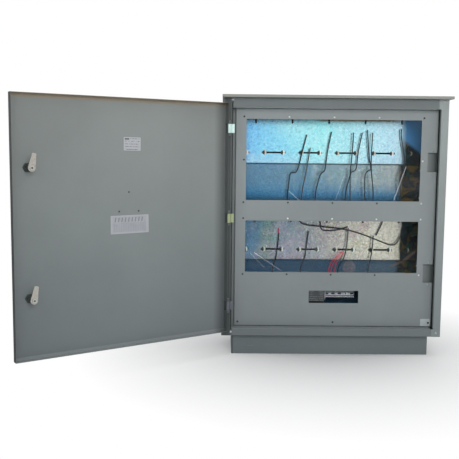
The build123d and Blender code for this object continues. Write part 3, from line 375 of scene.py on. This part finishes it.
def insulation(name, color, tape=None):
    """Wire insulation: an uneven sheath with a rubbed sheen, and tape between two heights if it is given."""
    finish = Finish(name, Specular_IOR_Level=0.25)
    rub = finish.noise(1.0, 4.0, 0.6, finish.stretched((220, 220, 40)))
    tone = finish.mix(rub.rise(0.4, 0.75), color, toned(color, 1.5, 0.006))
    if tape:
        low, high, tape_color = tape
        taped = finish.z.rise(low, low + MM) * finish.z.rise(high, high - MM)
        tone = finish.mix(taped, tone, tape_color)
    finish.vary("Base Color", tone)
    finish.vary("Roughness", 0.5 + 0.2 * rub)
    finish.bump(rub, 0.0002, 0.4)
    return finish.material


def sheet_axes(finish):
    """How far across and up a plate's own map, each from 0 to 1."""
    split = finish.node("ShaderNodeSeparateXYZ", {}, {0: finish.node("ShaderNodeUVMap", {"uv_map": "sheet"})})
    return split.beside(0), split.beside(1)


def ruled_paper():
    """A paper label: ten slanted bars in a row over a ruled table, on yellowed stock."""
    finish = Finish("ruled_paper", Specular_IOR_Level=0.3)
    u, v = sheet_axes(finish)
    fibre = finish.noise(500, 4.0, 0.7)
    blotch = finish.noise(30, 4.0, 0.6)
    slant = ((u - 0.06) * 11.4 - (v - 0.5) * 0.9).part()
    bars = slant.band(0.34, 0.62, 0.05) * v.band(0.64, 0.88) * u.band(0.06, 0.90)
    columns = (u * 22).part().band(0.0, 0.16, 0.04)
    rows = (v * 15).part().band(0.0, 0.2, 0.05)
    table = columns.larger(rows) * v.band(0.12, 0.60) * u.band(0.07, 0.92)
    border = 1 - u.band(0.05, 0.93) * v.band(0.07, 0.92)
    tone = finish.mix(blotch.rise(0.3, 0.75), [0.33, 0.345, 0.375], [0.39, 0.40, 0.42])
    tone = finish.mix(table * 0.5, tone, [0.20, 0.21, 0.24])
    tone = finish.mix(bars * 0.7, tone, [0.12, 0.13, 0.15])
    finish.vary("Base Color", finish.mix(border * 0.25, tone, [0.5, 0.51, 0.53]))
    finish.vary("Roughness", 0.55 + 0.2 * fibre)
    finish.bump(fibre, 0.00005, 0.4)
    return finish.material


def stamped_plate():
    """A bare anodised plate with a few ruled fields, some of them dark."""
    finish = Finish("stamped_plate", Metallic=0.55)
    u, v = sheet_axes(finish)
    brush = finish.noise(1.0, 4.0, 0.6, finish.stretched((1500, 1500, 60)))
    rows = (v * 5).part().band(0.35, 0.6, 0.08)
    broken = finish.noise(170, 3.0, 0.7).rise(0.42, 0.52)
    fields = rows * broken * u.band(0.08, 0.92)
    head = v.band(0.80, 0.92) * u.band(0.06, 0.32)
    tone = finish.mix(brush.rise(0.3, 0.7), [0.43, 0.445, 0.47], [0.53, 0.545, 0.57])
    tone = finish.mix(fields * 0.85, tone, [0.10, 0.105, 0.115])
    finish.vary("Base Color", finish.mix(head * 0.75, tone, [0.06, 0.065, 0.07]))
    finish.vary("Roughness", 0.34 + 0.2 * brush)
    finish.bump(brush + fields * 0.4, 0.00006, 0.4)
    return finish.material


def module_legend():
    """The dark legend strip of the switch modules, with pale empty fields."""
    finish = Finish("module_legend", Specular_IOR_Level=0.4)
    u, v = sheet_axes(finish)
    fleck = finish.noise(240, 3.0, 0.7)
    rows = (v * 6).part().band(0.3, 0.62, 0.1)
    fields = rows * fleck.rise(0.40, 0.54) * (1 - u.band(0.32, 0.68, 0.02) * v.rise(0.42, 0.46))
    tone = finish.mix(fleck.rise(0.3, 0.7), [0.028, 0.034, 0.037], [0.06, 0.066, 0.07])
    finish.vary("Base Color", finish.mix(fields * 0.55, tone, [0.24, 0.26, 0.27]))
    finish.vary("Roughness", 0.4 + 0.2 * fleck)
    finish.bump(fleck, 0.00005, 0.3)
    return finish.material


def upper_zinc():
    """The upper meter plate: sky-blue bloom that pales to the right and goes dark with painted shade at its
    end, with painted shade along its top too.
    """
    finish, tone, drift = plated("zinc_upper", [
        (0.0, [0.17, 0.50, 1.0]), (0.12, [0.26, 0.70, 1.0]), (0.45, [0.38, 0.96, 1.0]),
        (0.76, [0.52, 0.88, 1.0]), (1.0, [0.56, 0.84, 1.0])])
    tone = finish.mix(finish.z.rise(0.80, 0.742) * 0.45, tone, [0.50, 0.72, 0.92])
    swathe = (finish.x * 0.8 + finish.z + 0.12 * drift).band(0.78, 0.90, 0.05)
    tone = finish.mix(swathe * 0.5, tone, [0.50, 0.96, 1.0])
    shaded = finish.z.rise(0.893, 0.915) * finish.x.rise(0.1, -0.2)
    tone = finish.mix(shaded * 0.6, tone, [0.24, 0.42, 0.58])
    tone = finish.mix(finish.x.rise(-0.325, -0.345) * 0.7, tone, [0.12, 0.26, 0.45])
    tone = finish.mix(drift.rise(0.56, 0.75) * 0.4, tone, [0.50, 0.80, 0.95])
    tone = zinc_grain(finish, tone, contrast=1.15)
    # Brown painted shade along the top, cast by the cover's window edge
    top_shade = finish.z.rise(0.908, 0.916) * finish.x.band(-0.04, 0.275, 0.02)
    tone = finish.mix(top_shade * 0.85, tone, [0.30, 0.19, 0.07])
    finish.vary("Base Color", dark_end(finish, tone, edge=0.292, width=0.022, blue_above=True))
    return finish.material


def lower_zinc():
    """The lower meter plate: slate blue on the left, then green, violet and straw bloom, with painted shade
    at its hang slots and at its far right.
    """
    finish, tone, drift = plated("zinc_lower", [
        (0.0, [0.09, 0.20, 0.33]), (0.10, [0.11, 0.22, 0.32]), (0.17, [0.16, 0.29, 0.26]),
        (0.27, [0.23, 0.31, 0.37]), (0.5, [0.42, 0.42, 0.40]), (0.72, [0.66, 0.66, 0.54]),
        (1.0, [0.76, 0.74, 0.64])])
    tone = finish.mix(drift.rise(0.52, 0.68) * 0.55, tone, [0.48, 0.36, 0.42])
    straw = finish.noise(7, 4.0, 0.6, distortion=0.7).rise(0.55, 0.7)
    tone = finish.mix(straw * 0.5, tone, [0.50, 0.52, 0.34])
    tone = zinc_grain(finish, tone, contrast=1.2)
    # Dark spots at the hang slots' lower ends: painted shade inside the slots
    for x in METERS:
        tone = finish.mix(finish.near(x, HANG_SLOT, 0.0045), tone, [0.01, 0.012, 0.014])
    tone = dark_end(finish, tone, edge=0.298, width=0.006)
    smear = finish.line(312, 345, 365, 390, width=12)
    finish.vary("Base Color", finish.mix(smear * 0.8, tone, [0.17, 0.13, 0.10]))
    return finish.material


def panel_zinc():
    """The mounting panel: slate blue, deeper above the wire ducts, with brush streaks painted pale as
    reflections, painted shade at its far right, and painted black as shade where the plates cover it.
    """
    finish, tone, drift = plated("zinc_panel", [
        (0.0, [0.12, 0.27, 0.41]), (0.35, [0.155, 0.31, 0.42]), (0.62, [0.29, 0.43, 0.48]),
        (1.0, [0.42, 0.49, 0.48])])
    tone = finish.mix(drift.rise(0.5, 0.7) * 0.3, tone, [0.42, 0.44, 0.36])
    # Brush streaks painted pale as painted reflections, stronger to the right
    streak = finish.noise(1.0, 4.0, 0.6, finish.stretched((60, 60, 8), (0, 0.45, 0)))
    streaks = streak.rise(0.54, 0.70) * finish.x.rise(-0.3, 0.3)
    tone = finish.mix(streaks * 0.5, tone, [0.62, 0.60, 0.46])
    glow = finish.z.rise(0.70, 0.615)
    tone = finish.mix(glow * glow * 0.85, tone, [0.035, 0.25, 0.50])
    low = finish.z.rise(0.47, 0.46)
    slate = finish.mix((finish.x + 0.5 * drift).rise(-0.1, 0.5), [0.012, 0.080, 0.175], [0.068, 0.138, 0.205])
    tone = finish.mix(low, tone, slate)
    tone = finish.mix(finish.near(0.100, 0.318, 0.030) * 0.8, tone, [0.19, 0.19, 0.22])
    tone = dark_end(finish, zinc_grain(finish, tone), edge=0.285, width=0.02, dull=low)
    tone = finish.mix(finish.line(268, 322, 330, 350, width=11) * 0.6, tone, [0.20, 0.16, 0.14])
    # Painted shade, near black, where the plates cover the panel
    behind_plates_shade = finish.z.band(0.739, 0.975, 0.003).larger(finish.z.band(0.348, 0.584, 0.003))
    finish.vary("Base Color", finish.mix(behind_plates_shade, tone, [0.004, 0.008, 0.011]))
    return finish.material


def plain_zinc():
    """Grey zinc plate, as on the gland plate."""
    finish, tone, _ = plated("zinc_plain", [
        (0.0, [0.50, 0.56, 0.62]), (0.5, [0.60, 0.65, 0.68]), (1.0, [0.58, 0.62, 0.64])])
    finish.vary("Base Color", zinc_grain(finish, tone))
    return finish.material


def rail_zinc():
    """The top-hat rail: painted shade where it faces up under the cover, at its foot and in a line at the
    bend of its web, and painted light along its web and lower flange.
    """
    finish = Finish("rail_zinc", Metallic=0.7)
    # Bands of painted light and painted shade from the rail's foot to its top
    stops = [(0.0, [0.02, 0.022, 0.025]), (0.10, [0.03, 0.032, 0.036]), (0.14, [0.42, 0.43, 0.46]),
             (0.22, [0.42, 0.43, 0.46]), (0.25, [0.05, 0.055, 0.06]), (0.30, [0.05, 0.055, 0.06]),
             (0.33, [0.46, 0.48, 0.52]), (0.52, [0.46, 0.48, 0.52]), (0.58, [0.13, 0.145, 0.15]),
             (1.0, [0.09, 0.10, 0.105])]
    tone = finish.node("ShaderNodeValToRGB", {"stops": stops}, {0: finish.z.rise(0.213, 0.248)})
    finish.vary("Base Color", zinc_grain(finish, tone))
    return finish.material


def hinge_metal():
    """Hinge blocks: lit and shaded copies of one zinc, a pale mint painted highlight on the top block,
    yellow-green in the middle, painted shade at the foot and on the blocks' left side.
    """
    finish = Finish("hinge_zinc", Metallic=0.3)
    mottle = finish.noise(150, 4.0, 0.7)
    # Painted highlight on the top block and painted shade on the lowest
    tone = finish.mix(finish.z.rise(0.6, 0.8), [0.36, 0.42, 0.24], [0.70, 0.90, 0.86])
    tone = finish.mix(finish.z.rise(0.45, 0.25), tone, [0.115, 0.125, 0.145])
    tone = finish.mix(mottle.rise(0.5, 0.7) * 0.25, tone, [0.30, 0.33, 0.30])
    # Painted shade on the left side of the blocks
    tone = finish.mix(finish.x.rise(-0.4035, -0.4060) * 0.9, tone, [0.040, 0.055, 0.055])
    finish.vary("Base Color", tone)
    finish.vary("Roughness", 0.32 + 0.2 * mottle)
    finish.bump(mottle, 0.00008, 0.4)
    return finish.material


# Places that only one finish needs: dark screw heads and scratches in millimetres, painted shade in metres
DARK_PANE_SCREWS = [(-343.5, 921.5), (-343.5, 758), (-343.5, 594.5), (-171.7, 594.5), (0, 594.5),
                    (171.7, 594.5), (343.5, 921.5), (-343.5, 532.8), (-343.5, 314.5), (-171.7, 314.5),
                    (0, 314.5), (171.7, 314.5)]
DARK_COVER_SCREWS = [(-361.5, 126), (387, 126), (11.75, 126)]
SCRATCHES = [(-170, 640, -128, 603, 0.17), (12, 606, 43, 702, 0.08), (236, 603, 281, 738, 0.28),
             (-318, 402, -258, 338, 0.07), (-304, 402, -190, 326, 0.13)]
DOOR_PAINTED_SHADE = [(-0.408, -0.172, 0.050, 0.62)]
BODY_PAINTED_SHADE = [(-0.405, -0.145, 0.036, 0.8), (0.393, -0.128, 0.018, 0.3)]

# Each finish, with the CAD nodes that it goes on
FINISHES = {
    paint("enamel_cover", [0.270, 0.298, 0.302], worn=0.25, fade=0.26): ["inner_cover"],
    # Latch pockets: a darker copy of the cover's enamel as painted shade, darker still towards the right
    paint("enamel_pocket_shaded", [0.250, 0.277, 0.280], worn=0.2, shade_sides=[(0.362, 0.394, 0.7)]): ["latch_pockets"],
    # The door: a darker copy of the enamel as painted shade, with painted shade towards its free edge and
    # near the hinge
    paint("enamel_door", [0.235, 0.262, 0.262], worn=0.2, warm=0.2, fade=0.34, corners=DOOR_PAINTED_SHADE,
          shade_sides=[(-0.72, -1.09, 0.2)], door=True): ["door_pan"],
    # The body: painted shade by the door's hinge and on the inner face of the right post's return
    paint("enamel_body", [0.296, 0.328, 0.326], worn=0.3, fade=0.42, corners=BODY_PAINTED_SHADE): ["body_wrapper"],
    # The frame rails: a darker copy of the enamel as painted shade
    paint("enamel_rail_shaded", [0.165, 0.188, 0.192], worn=0.3, warm=0.05, rims=0.75): ["floor_pan", "top_pan"],
    paint("enamel_lid", [0.262, 0.285, 0.280], worn=0.3, warm=0.4): ["roof_lid"],
    # The plinth: a darker copy of the enamel, partly painted shade and partly grime, with painted shade at
    # its left end
    paint("enamel_plinth", [0.158, 0.188, 0.196], worn=0.2, grime=0.2,
          shade_sides=[(-0.3765, -0.3785, 0.55)]): ["plinth"],
    paint("enamel_inside", [0.230, 0.255, 0.258], worn=0.2): ["cover_rails", "panel_rails"],
    # The hinge eyes: a dark copy of the body's enamel as painted shade
    paint("eye_enamel_shaded", [0.105, 0.120, 0.118], worn=0.4): ["hinge_eyes"],
    plain_zinc(): ["gland_plate", "rail_brackets"],
    upper_zinc(): ["meter_plate_upper"],
    lower_zinc(): ["meter_plate_lower"],
    panel_zinc(): ["mounting_panel"],
    rail_zinc(): ["top_hat_rail"],
    hinge_metal(): ["hinge_blocks"],
    bright("screw_zinc", [0.90, 0.92, 0.90], dark_at=DARK_PANE_SCREWS, spots=0.3): ["pane_screws"],
    bright("cover_screw_zinc", [0.45, 0.48, 0.48], roughness=0.4, metallic=0.7,
           dark_at=DARK_COVER_SCREWS): ["cover_screws"],
    bright("bolt_zinc", [0.62, 0.65, 0.64], roughness=0.28): [
        "corner_bolts", "floor_bolts", "roof_bolts", "panel_screws"],
    bright("nut_zinc", [0.66, 0.70, 0.68], roughness=0.2): ["cam_nut_lower", "cam_nut_upper"],
    bright("rivet_steel", [0.07, 0.075, 0.078], roughness=0.45, metallic=0.4): ["door_rivets"],
    bright("pin_steel", [0.30, 0.32, 0.32], roughness=0.32, metallic=0.8): ["hinge_pins"],
    bright("cam_steel", [0.56, 0.53, 0.48], roughness=0.34, metallic=0.6): [
        "lock_cam_lower", "lock_cam_upper"],
    meter_fixing("meter_nut_zinc", split=0.0): ["meter_nuts"],
    meter_fixing("meter_bolt_zinc", split=0.001): ["meter_bolts"],
    plastic("lock_black", [0.036, 0.046, 0.044], roughness=0.38, gloss=0.5): [
        "lock_housings", "lock_plug_lower", "lock_plug_upper"],
    plastic("module_black", [0.030, 0.034, 0.036], roughness=0.42): ["rail_module"],
    plastic("clamp_grey", [0.30, 0.31, 0.32]): ["end_clamp"],
    plastic("duct_grey", [0.26, 0.28, 0.30]): ["wire_ducts", "duct_lids"],
    plastic("rubber_black", [0.020, 0.021, 0.022], roughness=0.62, gloss=0.3): ["cable_grommets"],
    clear_sheet(SCRATCHES): ["window_pane_upper", "window_pane_lower"],
}
for material, names in FINISHES.items():
    for name in names:
        mesh = nodes[name].data
        mesh.materials.clear()
        mesh.materials.append(material)


def added(name, data):
    """Puts a mesh, curve, lamp or camera into the scene."""
    made = bpy.data.objects.new(name, data)
    bpy.context.scene.collection.objects.link(made)
    return made


def rounded_outline(size, radius, steps=6):
    """A rectangle with rounded corners: at each corner the quarter circle centre + radius (cos a, sin a)."""
    corners = np.array([(1, 1), (-1, 1), (-1, -1), (1, -1)])
    centre = corners * (np.array(size) / 2 - radius)
    angle = np.linspace(0, np.pi / 2, steps) + np.arange(4)[:, None] * np.pi / 2
    return (centre[:, None] + radius * np.stack([np.cos(angle), np.sin(angle)], 2)).reshape(-1, 2)


def sheet_piece(name, body, material, place, size, radius, thickness, face, out, tilt=0.0, edge=0.0):
    """A thin plate or label on an upright face, with its own map from 0 to 1 across and up, as it is read.

    Its wall is a grid of the outline by its depth: at the face, out by the thickness less the edge, and
    out by the thickness and in by the edge. The outline is turned by the tilt, and two ends close it."""
    outline = rounded_outline(size, radius)
    rings = np.stack([outline, outline, outline * (1 - 2 * edge / np.array(size))])
    cos, sin = math.cos(tilt), math.sin(tilt)
    turned = rings @ np.array([[cos, sin], [-sin, cos]]) + place
    depth = face + out * np.array([0.0, thickness - edge, thickness])
    points = np.insert(turned, 1, depth[:, None], axis=2)  # the depth goes between across and up
    index = np.arange(len(rings) * len(outline)).reshape(len(rings), -1)
    following = np.roll(index, -1, axis=1)
    wall = np.stack([index[:-1], index[1:], following[1:], following[:-1]], 2).reshape(-1, 4)
    faces = [*wall.tolist(), index[0].tolist(), index[-1, ::-1].tolist()]
    if out > 0:
        faces = [corners[::-1] for corners in faces]
    mesh = bpy.data.meshes.new(name)
    mesh.from_pydata(points.reshape(-1, 3).tolist(), [], faces)
    side = 1
    if body == "door":  # read from inside, where x runs from right to left
        mesh.transform(SWING)
        side = -1
    mesh.validate()
    mesh.update()
    at_corner = np.zeros(len(mesh.loops), np.int32)
    mesh.loops.foreach_get("vertex_index", at_corner)
    share = (rings * (side, 1) / size + 0.5).reshape(-1, 2)[at_corner]
    mesh.uv_layers.new(name="sheet").data.foreach_set("uv", share.astype(np.float32).ravel())
    mesh.materials.append(material)
    made = added(name, mesh)
    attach(made, body)


# Plates and labels
sheet_piece("door_label", "door", ruled_paper(), place=(0.0037, 0.532),
            size=(0.146, 0.064), radius=0.001, thickness=0.0003, face=DOOR_FACE, out=1,
            tilt=math.radians(-0.3))
sheet_piece("rating_plate", "door", stamped_plate(), place=(-0.0062, 0.811),
            size=(0.065, 0.0465), radius=0.002, thickness=0.0008, face=DOOR_FACE, out=1,
            tilt=math.radians(0.8), edge=0.0002)
sheet_piece("cover_tag", "cabinet", plastic("tag_film", [0.46, 0.51, 0.52]),
            place=(0.3755, 0.1275), size=(0.038, 0.028), radius=0.001, thickness=0.0003,
            face=COVER_FACE, out=-1)
sheet_piece("module_strip", "cabinet", module_legend(), place=(-0.0535, 0.2305),
            size=(0.058, 0.043), radius=0.0005, thickness=0.0004, face=MODULE_FACE, out=-1)

# Wires, with the points of their routes in millimetres
WIRES = {
    "a": [(-163, 20, 590), (-163, 20, 622), (-159, 20, 656), (-157, 20, 680), (-156, 19, 696),
          (-150, 19, 707), (-140, 19, 707), (-131, 19, 706), (-125, 18, 717), (-118, 18, 739),
          (-110, 18, 777), (-100, 18, 818), (-90, 18, 858)],
    "b": [(-107, 11, 590), (-107, 11, 628), (-98, 11, 672), (-90, 11, 714), (-83, 12, 760),
          (-76, 12, 806)],
    "c": [(-51, 20, 590), (-51, 20, 624), (-44, 20, 656), (-38, 20, 682), (-33, 19, 699), (-26, 19, 709),
          (-16, 18, 711), (-13, 18, 727), (-10, 18, 756), (-5, 18, 797), (2, 18, 838), (9, 18, 870)],
    "d": [(88, 11, 590), (88, 11, 634), (86, 11, 682), (88, 11, 736), (92, 11, 788), (95, 12, 838),
          (95, 12, 868)],
    "e": [(70, 20, 590), (70, 20, 624), (77, 20, 658), (84, 20, 684), (88, 19, 702), (95, 19, 713),
          (106, 18, 715), (112, 18, 728), (114, 18, 752), (117, 18, 790), (124, 18, 830), (132, 18, 868)],
    "f": [(149, 20, 590), (149, 20, 626), (147, 20, 662), (147, 20, 688), (149, 19, 706), (158, 19, 716),
          (169, 18, 719), (169, 18, 735), (163, 18, 762), (158, 18, 803), (155, 18, 845), (152, 18, 879)],
    "g": [(181, 11, 590), (181, 11, 636), (174, 11, 684), (169, 11, 736), (169, 11, 788), (171, 11, 836),
          (172, 11, 868)],
    "h": [(294, 20, 590), (294, 20, 624), (289, 20, 658), (288, 20, 686), (293, 19, 708), (303, 18, 728),
          (306, 18, 752), (301, 18, 786), (293, 18, 824), (286, 18, 862), (288, 18, 884)],
    "i": [(-219, 20, 298), (-219, 20, 320), (-213, 20, 338), (-206, 20, 358), (-201, 20, 394),
          (-196, 20, 438), (-195, 20, 480)],
    "j": [(-104, 20, 298), (-104, 20, 322), (-98, 20, 341), (-88, 20, 360), (-83, 20, 394),
          (-80, 20, 432), (-75, 20, 470)],
    "k": [(46, 11, 298), (46, 11, 322), (55, 11, 340), (68, 11, 358), (76, 11, 386), (81, 11, 422),
          (83, 11, 456), (84, 11, 486)],
    "l": [(168, 11, 298), (168, 11, 322), (175, 11, 348), (181, 11, 380), (185, 11, 418), (186, 11, 455)],
    "m": [(-117, 20, 545), (-117, 20, 521), (-108, 20, 504), (-88, 20, 496), (-56, 20, 492),
          (-10, 20, 488), (40, 20, 483), (90, 20, 475), (140, 20, 461), (190, 20, 442), (235, 20, 424),
          (266, 20, 414), (285, 20, 424), (298, 20, 450), (311, 20, 480), (318, 20, 514), (318, 20, 545)],
    "n": [(-29, 26, 545), (-29, 26, 522), (-27, 26, 498), (-24, 26, 480), (-12, 26, 472), (12, 26, 472),
          (42, 26, 475), (66, 26, 481), (84, 26, 489)],
    "o": [(228, 24, 545), (228, 24, 520), (219, 24, 496), (209, 24, 474), (200, 24, 455)],
    "p": [(8, 6, 298), (8, 6, 316), (13, 6, 334), (23, 5, 354), (40, 5, 372), (62, 6, 390)],
    "q": [(17, 6, 298), (17, 6, 317), (24, 5, 336), (34, 4, 356), (48, 3, 373), (64, 2, 389)],
    "r": [(33, 6, 298), (33, 6, 316), (36, 5, 336), (44, 4, 355), (56, 2, 371), (70, 0, 384)],
}
RED = "pqr"
sheath = insulation("dark_sheath", [0.004, 0.011, 0.017])
SHEATHS = {"b": insulation("brown_sheath", [0.060, 0.045, 0.040]),
           "i": insulation("taped_sheath", [0.005, 0.010, 0.016], tape=(0.462, 0.482, [0.72, 0.03, 0.11])),
           **dict.fromkeys(RED, insulation("red_sheath", [0.66, 0.006, 0.055]))}
for letter, route in WIRES.items():
    radius = RED_RADIUS if letter in RED else WIRE_RADIUS
    curve = bpy.data.curves.new(f"loose_wire_{letter}", "CURVE")
    curve.dimensions = "3D"
    curve.bevel_depth = radius
    curve.bevel_resolution = 3
    curve.resolution_u = 10
    curve.use_fill_caps = True
    spline = curve.splines.new("NURBS")
    spline.points.add(len(route) - 1)
    for point, (x, y, z) in zip(spline.points, route):
        point.co = (x * MM, y * MM, z * MM, 1)
    spline.order_u = 3
    spline.use_endpoint_u = True
    curve.materials.append(SHEATHS.get(letter, sheath))
    wire = added(f"loose_wire_{letter}", curve)
    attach(wire, "cabinet")
    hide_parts(f"wire_{letter}")

# Floor: pale, and plain white in the camera's view away from the cabinet
HALF_FLOOR = 9.0
WHITE = (1, 1, 1)
square = [(-HALF_FLOOR, -HALF_FLOOR, 0), (HALF_FLOOR, -HALF_FLOOR, 0), (HALF_FLOOR, HALF_FLOOR, 0),
          (-HALF_FLOOR, HALF_FLOOR, 0)]
floor_mesh = bpy.data.meshes.new("floor")
floor_mesh.from_pydata(square, [], [(0, 1, 2, 3)])
added("floor", floor_mesh)
pale = Finish("pale_floor", Roughness=0.9, Specular_IOR_Level=0.1)
pale.vary("Base Color", pale.mix(pale.noise(60, 3.0), [0.80, 0.80, 0.80], [0.83, 0.83, 0.83]))
distance = (pale.x ** 2 + pale.y ** 2) ** 0.5
seen = pale.node("ShaderNodeLightPath").beside("Is Camera Ray")
glow = pale.node("ShaderNodeEmission", {}, {"Color": WHITE, "Strength": 1.0})
both = pale.node("ShaderNodeMixShader", {}, {0: distance.rise(*FLOOR_SHADE) * seen,
                                             1: Shade(pale, pale.shader.outputs[0]), 2: glow})
end = next(n for n in pale.tree.nodes if n.type == "OUTPUT_MATERIAL")
pale.join(both, end.inputs["Surface"])
floor_mesh.materials.append(pale.material)


def lamp(name, place, aim, size, power, color=WHITE, mirrored=False):
    """A square soft lamp that looks at a point; metal shows it only if it is mirrored."""
    light = bpy.data.lights.new(name, "AREA")
    light.shape = "SQUARE"
    light.size, light.energy, light.color = size, power, color
    made = added(name, light)
    made.location = place
    made.visible_glossy = mirrored
    made.rotation_euler = (Vector(aim) - Vector(place)).to_track_quat("-Z", "Y").to_euler()


lamp("key", (0.25, -3.3, 1.55), aim=(-0.1, -0.1, 0.65), size=1.3, power=47, color=(1.0, 0.985, 0.97))
lamp("fill", (-1.9, -3.4, 1.7), aim=(0.1, -0.1, 0.6), size=2.0, power=10, color=(0.95, 0.98, 1.0))
lamp("above", (0.2, -0.4, 3.2), aim=(0.0, -0.1, 0.9), size=1.6, power=20, mirrored=True)
lamp("behind", (0.9, 3.4, 2.0), aim=(0.0, 0.1, 0.6), size=2.2, power=30)

# World: soft light on the cabinet, and white wherever it is seen, mirrored or looked through at
world = bpy.data.worlds.new("studio")
bpy.context.scene.world = world
world.use_nodes = True
world.node_tree.nodes.clear()
sky = Graph(world.node_tree)
rays = sky.node("ShaderNodeLightPath")
shown = rays.beside("Is Camera Ray").larger(rays.beside("Is Transmission Ray"))
shown = shown.larger(rays.beside("Is Glossy Ray"))
soft = sky.node("ShaderNodeBackground", {}, {"Color": (0.93, 0.97, 1.0), "Strength": 0.42})
white = sky.node("ShaderNodeBackground", {}, {"Color": WHITE, "Strength": 1.0})
blend = sky.node("ShaderNodeMixShader", {}, {0: shown, 1: soft, 2: white})
sky.join(blend, sky.tree.nodes.new("ShaderNodeOutputWorld").inputs["Surface"])

# Camera, where the photograph was taken from; its picture is 459 pixels wide
PICTURE_WIDTH = 459
FOCAL_LENGTH = 734.5  # in pixels
SENSOR_WIDTH = 36  # in millimetres
CAMERA_PLACE = (-0.42099, -2.93447, 0.79069)
YAW, PITCH, ROLL = 0.0088, 0.1067, 0.0098
ahead = Vector((math.sin(YAW) * math.cos(PITCH), math.cos(YAW) * math.cos(PITCH), -math.sin(PITCH)))
level = Vector((math.cos(YAW), -math.sin(YAW), 0))
upward = level.cross(ahead)
across = math.cos(ROLL) * level + math.sin(ROLL) * upward
upright = math.cos(ROLL) * upward - math.sin(ROLL) * level
camera_data = bpy.data.cameras.new("camera")
camera_data.sensor_width = SENSOR_WIDTH
camera_data.lens = FOCAL_LENGTH / PICTURE_WIDTH * SENSOR_WIDTH
camera = added("camera", camera_data)
turn = Matrix((across, upright, -ahead)).transposed().to_4x4()
camera.matrix_world = Matrix.Translation(CAMERA_PLACE) @ turn
bpy.context.scene.camera = camera
bpy.context.scene.view_settings.view_transform = "Standard"
